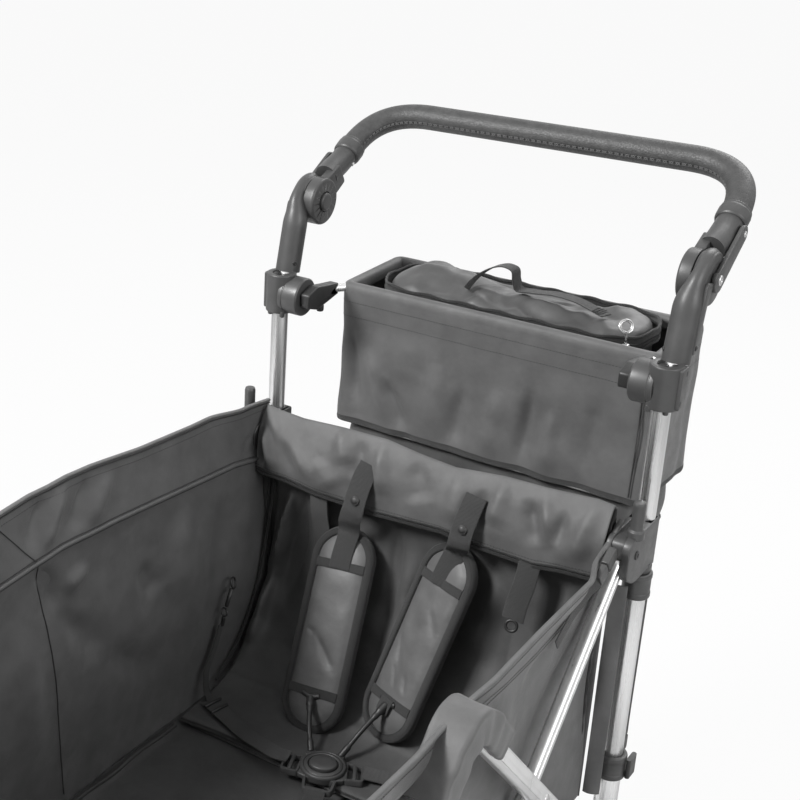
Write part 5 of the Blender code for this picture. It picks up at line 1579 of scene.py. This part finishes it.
def shift_points(piece, change):
    """Moves the points of a mesh by a function of their places."""
    points = np.zeros(len(piece.data.vertices) * 3)
    piece.data.vertices.foreach_get("co", points)
    points = change(points.reshape(-1, 3) - (0, REAR_POST, 0)) + (0, REAR_POST, 0)
    piece.data.vertices.foreach_set("co", points.ravel())
    piece.data.update()


BAG_FOLDS = [
    (-50, 70, -30, 100, 10, 4), (0, 70, 30, 95, 10, 4),
    (75, 70, 95, 100, 10, 4), (140, 75, 120, 110, 10, 4),
    (-165, 110, -70, 140, 14, 6), (-130, 90, -60, 92, 10, -5),
    (-70, 165, 30, 150, 12, -6), (-15, 120, 90, 105, 14, 6),
    (20, 95, 110, 85, 9, -5), (90, 150, 150, 110, 16, -6),
    (-20, 185, 90, 180, 10, 5), (150, 170, 110, 150, 10, 5),
    (-110, 170, -150, 130, 10, 4), (30, 135, 80, 140, 8, -4),
]


def bag_top(points):
    """Sunken middle and folds of the bag's lid, fading out towards its edge and down its sides."""
    x, back, z = (points - BAG_SHIFT).T
    edge = 1 - np.maximum((np.abs(x) / 0.18) ** 6, (np.abs(back - BAG_MIDDLE) / 0.061) ** 6)
    top = smooth_step(z, 0.868, 0.893) * np.clip(edge, 0, 1)
    hollow = 0.01 * np.exp(-(((x - 0.06) / 0.1) ** 2))
    swell = 0.003 * np.exp(-(((x + 0.13) / 0.04) ** 2))
    drop = 0.9 * creases(x, back, BAG_FOLDS) - hollow + swell
    drop = drop + ripples(x, back, 55, 0.04, 0.0011)
    side = 1 - smooth_step(z, 0.86, 0.9)
    out = ripples(x + back, z, 57, 0.07, 0.0014) * side
    centre = np.stack([x, (back - BAG_MIDDLE) * 3, 0 * x], axis=1)
    return points + np.stack([0 * x, 0 * x, drop * top], axis=1) + unit(centre) * out[:, None]


def in_basket(points):
    """Places given in the bag's own layout."""
    return places(points) + BAG_SHIFT


def make_bag():
    """Soft zip bag in the basket: a padded body, its piped lid with a zip, an arch handle and a strap."""
    outline = soften(
        [(-0.178, 0.0735), (0.178, 0.0735), (0.178, 0.1885), (-0.178, 0.1885)], 0.056, True, 26,
    )
    rings = [
        (0.03, 0.687), (0.008, 0.6885), (0.001, 0.698), (-0.001, 0.74), (0.0, 0.8), (0.0, 0.84),
        (0.001, 0.866),
        (0.003, 0.88), (0.008, 0.887), (0.016, 0.891), (0.028, 0.894), (0.042, 0.8955), (0.052, 0.896),
    ]
    body = make("bag_body", pad_shape(outline, rings, in_basket), BAG_FABRIC, "basket_unit", 70)
    inflated(body, 0.005, 0.0025, pressure=3.0)
    shift_points(body, bag_top)
    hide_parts("zip_bag")

    path = round_evenly(outline, 300)
    out = raised(outward(path), 0.0)
    base = in_basket(raised(path, 0.0))
    wave = 0.0012 * np.sin(np.arange(300) * 2 * pi / 300 * 17)[:, None]
    cords = merged(
        closed_band(base + out * 0.0034 + Z_AXIS * (0.883 + wave), out, 0.002, 0.002),
        closed_band(base + out * 0.0038 + Z_AXIS * (0.866 + wave), out, 0.002, 0.002),
        closed_band(base + out * 0.0036 + Z_AXIS * (0.8745 + wave), out, 0.001, 0.0065),
    )
    make("bag_piping", cords, PIPING, "basket_unit")
    line = base + out * 0.005 + Z_AXIS * (0.8745 + wave)
    make("bag_zip", stitches(line, out[150], 0.0021, 0.0013, 0.0016), BLACK_PLASTIC, "basket_unit")

    arch = [
        (-0.058, 0.098, 0.894), (-0.052, 0.104, 0.905), (-0.04, 0.111, 0.918), (-0.026, 0.113, 0.927),
        (-0.01, 0.113, 0.931), (0.0, 0.113, 0.928), (0.003, 0.114, 0.914), (0.006, 0.117, 0.9035),
        (0.024, 0.121, 0.9015), (0.055, 0.121, 0.9045), (0.085, 0.117, 0.904), (0.108, 0.112, 0.9),
        (0.128, 0.106, 0.8965),
    ]
    line = smooth_line(in_basket(arch), 150)
    handle = strap(line, 0.019, 0.0016, (0.15, 1, 0))
    make("bag_handle", handle, WEBBING, "basket_unit")
    bars = [
        cord(
            in_basket([(x, 0.097, z), (x + 0.002, 0.106, z + 0.001), (x + 0.004, 0.116, z + 0.0006)]),
            0.0008, 0.0008, 8, X_AXIS,
        ) for x, z in ((0.112, 0.9008), (0.116, 0.9002), (0.12, 0.8996))
    ]
    make("bag_strap_bars", merged(*bars), PIPING, "basket_unit")

    ring = turned(
        [(0.0075 + 0.0019 * cos(a), 0.0012 * sin(a)) for a in np.arange(12) * pi / 6],
        at(0.1765, 0.089, 0.901), (0.55, -0.7, 0.5), 32, True,
    )
    stem = cord(
        places([(0.177, 0.0895, 0.8935), (0.1775, 0.09, 0.887), (0.178, 0.0902, 0.879)]), 0.0017, 0.0012,
        12,
    )
    slider = plate(
        box_outline(REAR_POST + 0.086, REAR_POST + 0.094, 0.8715, 0.8785, 0.002), 0.174, 0.182, 0, 0.001,
    )
    make("zip_pull", merged(ring, stem, slider), STEEL, "basket_unit")


# Seat and harness

SEAT_FOLDS = [
    (-195, 620, -212, 500, 7, 16), (-176, 620, -185, 470, 9, -10),
    (-212, 500, -214, 400, 8, 12), (-155, 600, -150, 460, 12, 6),
    (-10, 600, -18, 420, 18, 6), (-35, 620, -30, 440, 10, -6),
    (110, 600, 85, 450, 16, 6), (145, 600, 150, 420, 16, -6),
    (200, 620, 190, 420, 14, 9), (-120, 450, -60, 390, 16, 4),
]


def make_seat_back():
    """Loose fabric of the rear seat: it hangs from under the flap, turns forward and covers the seat."""
    profile = [
        (-0.0475, 0.668), (-0.048, 0.62), (-0.049, 0.565), (-0.06, 0.505), (-0.088, 0.445), (-0.118, 0.402),
        (-0.142, 0.379), (-0.17, 0.3665), (-0.205, 0.3615), (-0.24, 0.36), (-0.258, 0.359),
        (-0.2625, 0.356),
    ]
    line = smooth_line(np.array(profile), 130)
    x = np.linspace(-0.2225, 0.2225, 170)
    back = np.broadcast_to(line[:, :1], (130, 170)).copy()
    z = np.broadcast_to(line[:, 1:], (130, 170)).copy()
    wide = np.broadcast_to(x, z.shape)
    upright = smooth_step(z, 0.366, 0.41)
    lift = creases(wide, z, SEAT_FOLDS) * upright + ripples(
        wide, z + back, 63, 0.08, 0.0012,
    ) * (0.35 + 0.65 * upright)
    lift = lift + 0.0016 * np.exp(-(((back + 0.155) / 0.006) ** 2)) * (1 - upright)
    back = back - np.maximum(lift, -0.004) * upright
    z = z + np.clip(lift, -0.0008, 0.004) * (1 - upright)
    hem = smooth_step(-back, 0.22, 0.262)
    back = back - 0.004 * hem * np.cos(wide * 24)
    cover = cloth(
        "seat_cover", placed(wide, back, z), INSIDE_SHADE_FABRIC, "rear_top", (0.45, 0.48), "draped",
        thickness=0.0012, rests_on=["floor_and_seats"],
    )
    edge = placed(wide[-2], back[-2], z[-2])
    binding = make("seat_binding", cord(edge, 0.0022, 0.002, 12, Z_AXIS), PIPING)
    line = np.array([
        (-224.5, -50, 640), (-226, -62, 560), (-228, -85, 470), (-228.5, -135, 395), (-228.5, -175, 368),
    ])
    seam = cord(through(line, 60), 0.002, 0.002, 10, X_AXIS)
    make("seat_side_piping", merged(seam, mirrored(seam)), PIPING)
    for piece in (cover, binding):
        fold_with_frame(piece)


def make_seats():
    """Thin seat cushion at each end of the floor."""
    for name, near, far in (("rear", -0.052, -0.258), ("front", -SPACING + 0.262, -SPACING + 0.054)):
        outline = soften([(-0.2205, far), (0.2205, far), (0.2205, near), (-0.2205, near)], 0.016, True, 10)
        rings = [
            (0.006, 0.3478), (0.001, 0.3484), (0, 0.35), (0.0005, 0.3525), (0.004, 0.3555), (0.012, 0.3572),
            (0.03, 0.3578), (0.05, 0.358),
        ]
        low = 0.0004 if name == "front" else -0.0022
        rings = [(inset, z + low * (z > 0.352)) for inset, z in rings]
        cushion = make(f"{name}_seat_cushion", pad_shape(outline, rings, places), INSIDE_SHADE_FABRIC, sharp=60)
        fold_with_frame(cushion)


class PadPlace:
    """Frame of a shoulder pad: across, along from its top, and off its face."""

    def __init__(self, top, bottom, roll=0.0):
        self.top = np.array(at(*top))
        self.along = unit(np.array(at(*bottom)) - self.top)
        side = unit(X_AXIS + roll * Y_AXIS)
        self.side = unit(side - self.along * (side @ self.along))
        self.off = np.cross(self.along, self.side)

    def __call__(self, points):
        points = np.atleast_2d(np.asarray(points, float))
        return self.top + points[:, :1] * self.side + points[:, 1:2] * self.along + points[:, 2:] * self.off


def hoop(outline, profile, place):
    """Closed ring: a profile of (inset, height) carried round an outline along its normals."""
    profile = np.asarray(profile, float)
    flat = insets(outline, profile[:, 0])
    grid = np.concatenate([flat, np.broadcast_to(profile[:, 1, None, None], flat.shape[:2] + (1,))], axis=2)
    points, quads, uvs, caps = grid_shape(grid, closed_rows=True, closed_columns=True)
    return place(points), quads, uvs, caps


PAD_LENGTH, PAD_HALF, BAR_HALF = 0.272, 0.044, 0.0345


def make_shoulder_pad(name, node, place, folds, seed):
    """Shoulder pad: inflated core, wide stitched binding, webbing bars near both ends."""
    outline = bar_outline((0, PAD_HALF), (0, PAD_LENGTH - PAD_HALF), PAD_HALF - 0.002, 24)
    rings = [
        (0.012, -0.0058), (0.004, -0.0054), (0.0015, -0.003), (0.001, 0.0), (0.004, 0.0018), (0.009, 0.003),
        (0.013, 0.0052), (0.02, 0.0066), (0.03, 0.0072), (0.038, 0.0074),
    ]
    core = make(f"{name}_pad", pad_shape(outline, rings, place), FABRIC, sharp=60)
    inflated(core, 0.004, 0.0009, pressure=3.0)

    def wrinkle(points):
        local = points + (0, REAR_POST, 0) - place.top
        u, a, h = local @ place.side, local @ place.along, local @ place.off
        rise = 0.4 * creases(u, a, folds) + ripples(u, a, seed, 0.05, 0.0005)
        inside = np.clip(1 - (np.abs(u) / 0.033) ** 4, 0, 1) * smooth_step(h, 0.001, 0.004)
        inside = inside * smooth_step(a, 0.05, 0.065) * (1 - smooth_step(a, 0.198, 0.208))
        return points + (rise * inside)[:, None] * place.off

    shift_points(core, wrinkle)
    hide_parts(node)
    outline = bar_outline((0, PAD_HALF), (0, PAD_LENGTH - PAD_HALF), PAD_HALF, 40)
    profile = [
        (0.009, -0.0068), (0.0006, -0.0064), (-0.0006, -0.005), (-0.0008, 0.002), (0.0004, 0.004),
        (0.003, 0.005), (0.0085, 0.0056), (0.0098, 0.005), (0.01, 0.003),
    ]
    make(f"{name}_pad_binding", hoop(outline, profile, place), BINDING)
    inner = bar_outline((0, PAD_HALF), (0, PAD_LENGTH - PAD_HALF), PAD_HALF - 0.0088, 40)
    line = place(raised(inner, 0.0058))
    row = stitches(line, place.off, 0.0036, 0.0026, 0.0009)
    outer = bar_outline((0, PAD_HALF), (0, PAD_LENGTH - PAD_HALF), PAD_HALF - 0.0022, 40)
    line = place(raised(outer, 0.0049))
    make(f"{name}_pad_stitches", merged(row, stitches(line, place.off, 0.0036, 0.0022, 0.0007)), PIPING)
    bars, marks = [], []
    for a in (0.052, 0.219):
        u = np.linspace(-BAR_HALF, BAR_HALF, 30)
        crown = 0.0078 - 0.0022 * (np.abs(u) / BAR_HALF) ** 3
        line = place(np.stack([u, np.full(30, a), crown], axis=1))
        bars.append(strap(line, 0.0125, 0.0018, place.along))
        for shift in (-0.0048, 0.0048):
            marks.append(stitches(
                line + place.along * shift + place.off * 0.0011, place.off, 0.0032, 0.0022, 0.0006,
            ))
    make(f"{name}_pad_bars", merged(*bars), WEBBING)
    make(f"{name}_bar_stitches", merged(*marks), PIPING)


def snap(place, axis, radius=0.0062):
    """Domed press stud with a rim."""
    profile = [
        (0, -0.001), (radius, -0.001), (radius, 0.0008), (radius * 0.9, 0.0016), (radius * 0.78, 0.0014),
        (radius * 0.7, 0.0022), (radius * 0.4, 0.0031), (0, 0.0033),
    ]
    return lathe(profile, place, axis, 0.0004, 32)


LEFT_PAD = PadPlace((-0.1015, -0.0555, 0.596), (-0.0745, -0.188, 0.36))
RIGHT_PAD = PadPlace((0.056, -0.0545, 0.622), (0.0125, -0.158, 0.372), -0.35)
LEFT_PAD_FOLDS = [(-12, 145, 22, 188, 4.5, -3.5), (-30, 140, -12, 145, 4, -3), (0, 90, 30, 120, 10, 1)]
RIGHT_PAD_FOLDS = [
    (0, 85, 30, 125, 6, -3), (-30, 125, -5, 185, 4, -3),
    (-18, 170, 0, 205, 3, -2.8), (5, 175, 18, 205, 3, -2.8),
]


def make_harness():
    """Webbing over the flap with press studs, the two shoulder pads, spare clips and the lap belt."""
    make_shoulder_pad("left", "shoulder_pad_left", LEFT_PAD, LEFT_PAD_FOLDS, 71)
    make_shoulder_pad("right", "shoulder_pad_right", RIGHT_PAD, RIGHT_PAD_FOLDS, 73)
    straps, studs = [], []
    lines = (
        [
            (-0.069, -0.072, 0.7035), (-0.0705, -0.0765, 0.6965), (-0.0735, -0.081, 0.685),
            (-0.077, -0.0885, 0.662), (-0.08, -0.0905, 0.642), (-0.0865, -0.085, 0.625),
        ],
        [
            (0.079, -0.072, 0.706), (0.078, -0.0765, 0.699), (0.0755, -0.0815, 0.686),
            (0.072, -0.0885, 0.664), (0.07, -0.09, 0.65), (0.0675, -0.087, 0.64),
        ],
    )
    for points, place, width in zip(lines, (LEFT_PAD, RIGHT_PAD), (0.029, 0.028)):
        low = place([
            (0.004, 0.012, 0.01), (0.002, 0.028, 0.0094), (0.001, 0.046, 0.0092), (0.001, 0.056, 0.0088),
        ])
        line = smooth_line(np.concatenate([places(points), low]), 110)
        straps.append(strap(line, width, 0.0018, (1, 0.1, 0.1)))
        spot = line[int(110 * 0.3)]
        studs.append(snap(spot + (0, -0.0012, 0.0004), (0.05, -0.93, 0.36)))
    make("shoulder_straps", merged(*straps), WEBBING)
    make("press_studs", merged(*studs), BLACK_PLASTIC)
    hanging = [
        strap(
            through([(-143.6, -70, 636), (-143.6, -66.5, 610), (-142, -60, 580), (-140, -58, 556)], 40),
            0.026, 0.0016,
        ),
        strap(
            through([(156, -75, 642), (154.5, -82, 615), (150, -86, 590), (147, -87, 566)], 40), 0.027,
            0.0016, (1, 0.1, 0),
        ),
    ]
    make("hanging_straps", merged(*hanging), WEBBING)
    eye = turned(
        [(0.0068 + 0.002 * cos(a), 0.0018 * sin(a)) for a in np.arange(12) * pi / 6],
        at(0.1465, -0.0885, 0.558), (0.2, -1, 0.3), 28, True,
    )
    clip = [
        turned(
            [(0.0075 + 0.0013 * cos(a), 0.0013 * sin(a)) for a in np.arange(12) * pi / 6],
            at(-0.2235, -0.146, 0.509), (1, 0.3, 0.3), 28, True,
        ),
        cord(
            through([(-223.5, -150, 502), (-221.5, -158, 494), (-222.5, -163, 480)], 16), 0.003, 0.0022, 12,
        ),
        turned(
            [(0.0055 + 0.0013 * cos(a), 0.0013 * sin(a)) for a in np.arange(12) * pi / 6],
            at(-0.2235, -0.1655, 0.473), (1, 0.1, 0.6), 28, True,
        ),
        cord(
            through([(-223.5, -167, 467), (-223.5, -168, 460), (-224.5, -169, 453)], 12), 0.0028, 0.0022,
            12,
        ),
    ]
    make("spare_clips", merged(eye, *clip), BLACK_PLASTIC)
    side_line = [
        (-225.5, -170, 455), (-226.2, -182, 425), (-224, -205, 390), (-208, -216.5, 366.5),
        (-193, -222, 364.5),
    ]
    lap = [
        (-208, -216.5, 365.5), (-190, -224, 366.5), (-165, -233, 366), (-130, -245, 365),
        (-95, -253, 366.5), (-68, -258.5, 369), (-56, -256, 370),
    ]
    right_lap = [(33, -225, 369), (48, -219, 368), (90, -208, 365.5), (150, -200, 365), (210, -190, 366)]
    shapes = merged(
        strap(through(side_line, 70), 0.009, 0.0018, (0.2, 1, 0.2)),
        strap(through(lap, 90), 0.0255, 0.0018, (0.33, 0.94, 0)),
        strap(through(right_lap, 70), 0.0255, 0.0018, (-0.25, 0.97, 0)),
    )
    make("lap_straps", shapes, WEBBING)
    slider = []
    for x, y in ((-0.2, -0.2205), (-0.1855, -0.2262)):
        slider.append(cord(
            places([(x - 0.003, y - 0.0145, 0.369), (x, y, 0.3695), (x + 0.003, y + 0.0145, 0.369)]),
            0.0024, 0.002, 12,
        ))
    make("lap_adjuster", merged(*slider), BLACK_PLASTIC)
    crotch = [(3, -288, 370), (6, -296, 365), (10, -308, 356), (13, -320, 351), (16, -335, 350)]
    make("crotch_strap", strap(through(crotch, 50), 0.0255, 0.0018, (1, 0.42, 0)), WEBBING)


BUCKLE_TURN = radians(22)


def on_buckle(points):
    """Buckle's own places (right, towards the crotch strap, up) put on the seat."""
    points = np.atleast_2d(np.asarray(points, float))
    u = np.array((cos(BUCKLE_TURN), sin(BUCKLE_TURN), 0))
    v = np.array((sin(BUCKLE_TURN), -cos(BUCKLE_TURN), 0))
    centre = np.array(at(-0.012, -0.246, 0.36))
    return centre + points[:, :1] * u + points[:, 1:2] * v + points[:, 2:] * Z_AXIS


def make_buckle():
    """Five-way buckle: a round body with a raised rim, slotted side frames, a crotch loop and hook pins."""
    disc = lathe([
        (0, 0.001), (0.027, 0.001), (0.029, 0.004), (0.029, 0.0105), (0.0278, 0.0128), (0.0255, 0.0135),
        (0.0248, 0.012), (0.024, 0.0135), (0.0205, 0.0148), (0.019, 0.014), (0.0186, 0.0115), (0, 0.0115),
    ], (0, 0, 0), edge=0.0006, segments=72)
    frame_profile = [
        (0, 0.002), (0, 0.0085), (0.0008, 0.0097), (0.0034, 0.0097), (0.0042, 0.0085), (0.0042, 0.002),
        (0.0034, 0.001), (0.0008, 0.001),
    ]
    parts = [changed(disc, on_buckle)]
    for side in (-1, 1):
        outline = soften(
            [
                (side * 0.0255, -0.0185), (side * 0.05, -0.015), (side * 0.053, 0.0165),
                (side * 0.0285, 0.0195),
            ],
            0.005, True, 8,
        )
        parts.append(hoop(outline, frame_profile, on_buckle))
        bar = np.array([
            (side * 0.0385, -0.0145, 0.0075), (side * 0.0398, 0.0, 0.0085), (side * 0.041, 0.015, 0.0075),
        ])
        parts.append(cord(on_buckle(bar), 0.0028, 0.0022, 14, (cos(BUCKLE_TURN), sin(BUCKLE_TURN), 0)))
        shoulder = soften(
            [(side * 0.01, -0.0255), (side * 0.0285, -0.018), (side * 0.03, 0.019), (side * 0.014, 0.025)],
            0.003, True, 5,
        )
        parts.append(changed(plate(np.array(shoulder), 0.0015, 0.0088, 2, 0.0015), on_buckle))
    loop = soften([(-0.0215, 0.022), (0.0215, 0.022), (0.0185, 0.048), (-0.0185, 0.048)], 0.006, True, 8)
    parts.append(hoop(loop, frame_profile, on_buckle))
    for u in (-0.0205, 0.0165):
        socket = plate(
            np.array(box_outline(u - 0.006, u + 0.006, -0.03, -0.018, 0.002)), 0.002, 0.0105, 2, 0.0015,
        )
        parts.append(changed(socket, on_buckle))
    make("buckle_body", merged(*parts), PLASTIC, node="harness_buckle")
    button = lathe(
        [(0, 0.0105), (0.018, 0.0105), (0.018, 0.015), (0.0168, 0.0172), (0.01, 0.0182), (0, 0.0184)],
        (0, 0, 0), edge=0.0012, segments=64,
    )
    button = changed(button, lambda points: on_buckle(points * (1, 0.84, 1) + (0, 0.001, 0)))
    make("oval_button", button, PLASTIC, "harness_button", node="buckle_button")

    hooks = []
    for place, low, u in ((LEFT_PAD, 0.226, -0.0205), (RIGHT_PAD, 0.224, 0.0165)):
        tip = on_buckle([(u, -0.0265, 0.0085)])[0]
        start = place([(0.001, low, 0.01)])[0]
        mid = start * 0.55 + tip * 0.45 + (0, -0.004, 0.002)
        line = smooth_line(np.array([start, mid, tip]), 40)
        size = np.interp(
            np.linspace(0, 1, 40), [0, 0.16, 0.18, 0.26, 0.28, 0.78, 0.82, 1],
            [1.5, 1.5, 1.15, 1.15, 0.9, 0.8, 1.15, 1.1],
        )
        hooks.append(carried(
            line, round_outline(0.0037, 0.0037, 16), np.stack([size, size], axis=1), 1 * X_AXIS, 0.001,
        ))
        head = place([
            (-0.013, low - 0.004, 0.0085), (0.0, low - 0.001, 0.0105), (0.013, low - 0.004, 0.0085),
        ])
        hooks.append(cord(smooth_line(head, 20), 0.0036, 0.0026, 14, place.along))
    make("hook_pins", merged(*hooks), BLACK_PLASTIC)
    tab = RIGHT_PAD([(0.0, 0.216, 0.0105), (0.0, 0.224, 0.0125), (-0.001, 0.236, 0.012)])
    make("hook_tab", strap(smooth_line(tab, 16), 0.02, 0.002, RIGHT_PAD.side), WEBBING)


# Sleeves and straps outside the walls


def make_sleeves():
    """Fabric sleeve over each middle pivot: a loose rectangular tube bent over the bars' ends."""
    for name, side in SIDES:
        apex = -HALF
        bend = [
            (0.2668, apex + 0.066, 0.629), (0.2668, apex + 0.045, 0.651), (0.2672, apex + 0.022, 0.675),
            (0.2676, apex + 0.0, 0.685), (0.2672, apex - 0.022, 0.675), (0.2668, apex - 0.045, 0.651),
            (0.2668, apex - 0.066, 0.629),
        ]
        path = smooth_line(places(bend), 90)
        section = np.array(box_outline(-0.0205, 0.0205, -0.0168, 0.0168, 0.0032, 8))
        section = round_evenly(section, 72)
        _, across, up = directions(path, X_AXIS)
        t = np.linspace(-1, 1, 90)[:, None]
        wave = ripples(t * 0.09, np.arange(72)[None] * 0.0016, 81 + side, 0.035, 0.0009)
        pinch = 1 + 0.04 * np.exp(-((t / 0.25) ** 2))
        u = section[None, :, 0] * (1 + wave / 0.02)
        v = section[None, :, 1] * pinch * (1 + wave / 0.02)
        grid = path[:, None] + u[..., None] * across[:, None] + v[..., None] * up[:, None]
        grid[..., 0] = np.clip(grid[..., 0], 0.2474, 0.2905)
        points, quads, flat, caps = grid_shape(grid, closed_columns=True)
        piece = make(f"pivot_sleeve_{name}", sided((points, quads, flat, caps), side), FABRIC, None, 60)
        thicken(piece, 0.0013, 1)
        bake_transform(piece)


def make_outer_straps():
    """Ribbed strap behind each rear post with its buckle, and a side-release buckle beside the wall."""
    for name, side in SIDES:
        line = [
            (260, 16.5, 676), (260.5, 19, 655), (261, 21.5, 600), (261, 21.5, 520),
            (260.5, 22.5, 445), (260, 24, 405), (260, 24.5, 385),
        ]
        shape = strap(through(line, 90), 0.024, 0.002, (0.35, 0.94, 0))
        make(f"outer_strap_{name}", sided(shape, side), WEBBING)
        block = [
            plate(
                box_outline(REAR_POST + 0.015, REAR_POST + 0.035, 0.364, 0.386, 0.004), 0.2585, 0.2665, 0,
                0.002,
            ),
            plate(
                box_outline(REAR_POST + 0.018, REAR_POST + 0.032, 0.348, 0.3655, 0.003), 0.26, 0.265, 0,
                0.0015,
            ),
        ]
        make(f"strap_buckle_{name}", sided(merged(*block), side), BLACK_PLASTIC)
        body = [(257, -86, 698.5), (257, -96, 692.5), (257, -106, 686.5)]
        male = [(257, -106.5, 686), (256.8, -115, 681), (256.6, -123, 676)]
        shapes = merged(
            carried(
                through(body, 20), box_outline(-0.0095, 0.0095, -0.0048, 0.0048, 0.003), 1.0,
                (0, 0.5, 0.86), 0.0015,
            ),
            carried(
                through(male, 20), box_outline(-0.008, 0.008, -0.0036, 0.0036, 0.002), 1.0, (0, 0.5, 0.86),
                0.0012,
            ),
        )
        make(f"side_buckle_{name}", sided(shapes, side), PLASTIC)
        tail = [
            (256.6, -123, 676), (253, -138, 668), (250, -160, 656), (249, -185, 642), (248.6, -205, 630),
        ]
        shape = strap(through(tail, 40), 0.015, 0.0012, (0, 0.5, 0.86))
        make(f"side_strap_{name}", sided(shape, side), WEBBING)


make_basket()
make_bag()
make_seat_back()
make_seats()
make_harness()
make_buckle()
make_sleeves()
make_outer_straps()


# Wheels, front end and carried-over parts


def tyre(centre, radius, half_width, depth, blocks):
    """Tyre: a rounded section turned about its axle, its blocks cut by a shaped sine of the angle."""
    inner = radius - depth
    section = [
        (inner, -half_width * 0.62), (radius - depth * 0.55, -half_width),
        (radius - depth * 0.22, -half_width * 0.93),
        (radius - 0.0035, -half_width * 0.66), (radius - 0.001, -half_width * 0.34),
        (radius - 0.004, -half_width * 0.3),
        (radius - 0.004, -half_width * 0.24), (radius, -half_width * 0.2), (radius, half_width * 0.2),
        (radius - 0.004, half_width * 0.24), (radius - 0.004, half_width * 0.3),
        (radius - 0.001, half_width * 0.34),
        (radius - 0.0035, half_width * 0.66), (radius - depth * 0.22, half_width * 0.93),
        (radius - depth * 0.55, half_width), (inner, half_width * 0.62),
    ]
    section = soften(section, 0.0025, True, 3)

    def blocks_cut(r, angle, height):
        crown = smooth_step(r, radius - 0.012, radius - 0.004) * (np.abs(height) > half_width * 0.22)
        wave = np.sin(angle * blocks + np.sign(height) * 0.8)
        return r - 0.0028 * crown * smooth_step(wave, 0.55, 0.8)

    return turned(section, centre, X_AXIS, blocks * 8, True, blocks_cut)


def centre_of(node):
    """Middle of a frame part's box."""
    low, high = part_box(node)
    return np.array([(a + b) / 2 for a, b in zip(low, high)])


def make_wheels():
    """Treaded tyres, rim beads and hub caps."""
    for end, blocks, depth in (("rear", 46, 0.024), ("front", 36, 0.02)):
        for name, side in SIDES:
            node = f"{end}_tyre_{name}"
            low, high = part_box(node)
            middle = centre_of(node)
            radius, half = (high[2] - low[2]) / 2, (high[0] - low[0]) / 2
            body = f"{end}_wheel_{name}"
            make(
                f"{end}_treaded_tyre_{name}", tyre(middle, radius, half, depth, blocks), RUBBER, body, 50,
                node=node,
            )
            low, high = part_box(f"{end}_hub_{name}")
            half = (high[0] - low[0]) / 2
            rim = radius - depth
            beads = [
                turned(
                    [(
                        rim - 0.0015 + 0.0022 * cos(a), sign * (half - 0.0012) + 0.0022 * sin(a),
                    ) for a in np.arange(10) * pi / 5],
                    middle, X_AXIS, 96, True,
                )
                for sign in (-1, 1)
            ]
            cap = [
                (0, half - 0.002), (0.019, half - 0.002), (0.0195, half + 0.0015), (0.017, half + 0.003),
                (0.012, half + 0.0036), (0.0112, half + 0.003), (0, half + 0.0034),
            ]
            cap = lathe(cap, middle, side * X_AXIS, 0.0008, 48)
            make(f"{end}_rim_{name}", merged(*beads, cap), PLASTIC, body)


def dress_frame():
    """Finishes of the frame parts that stay as they are."""
    finishes = {
        "rear_hub": PLASTIC, "front_hub": PLASTIC, "rear_axle": STEEL, "brake_bar": PLASTIC,
        "caster_fork": PLASTIC,
        "front_beam": PLASTIC, "pull_tube": ALUMINIUM, "pull_grip": LEATHER, "basket_frame": ALUMINIUM,
        "collar_latch": BLACK_PLASTIC,
    }
    for name, node in frame["nodes"].items():
        for start, finish in finishes.items():
            if name.startswith(start):
                node.data.materials.clear()
                node.data.materials.append(finish)


make_wheels()
dress_frame()
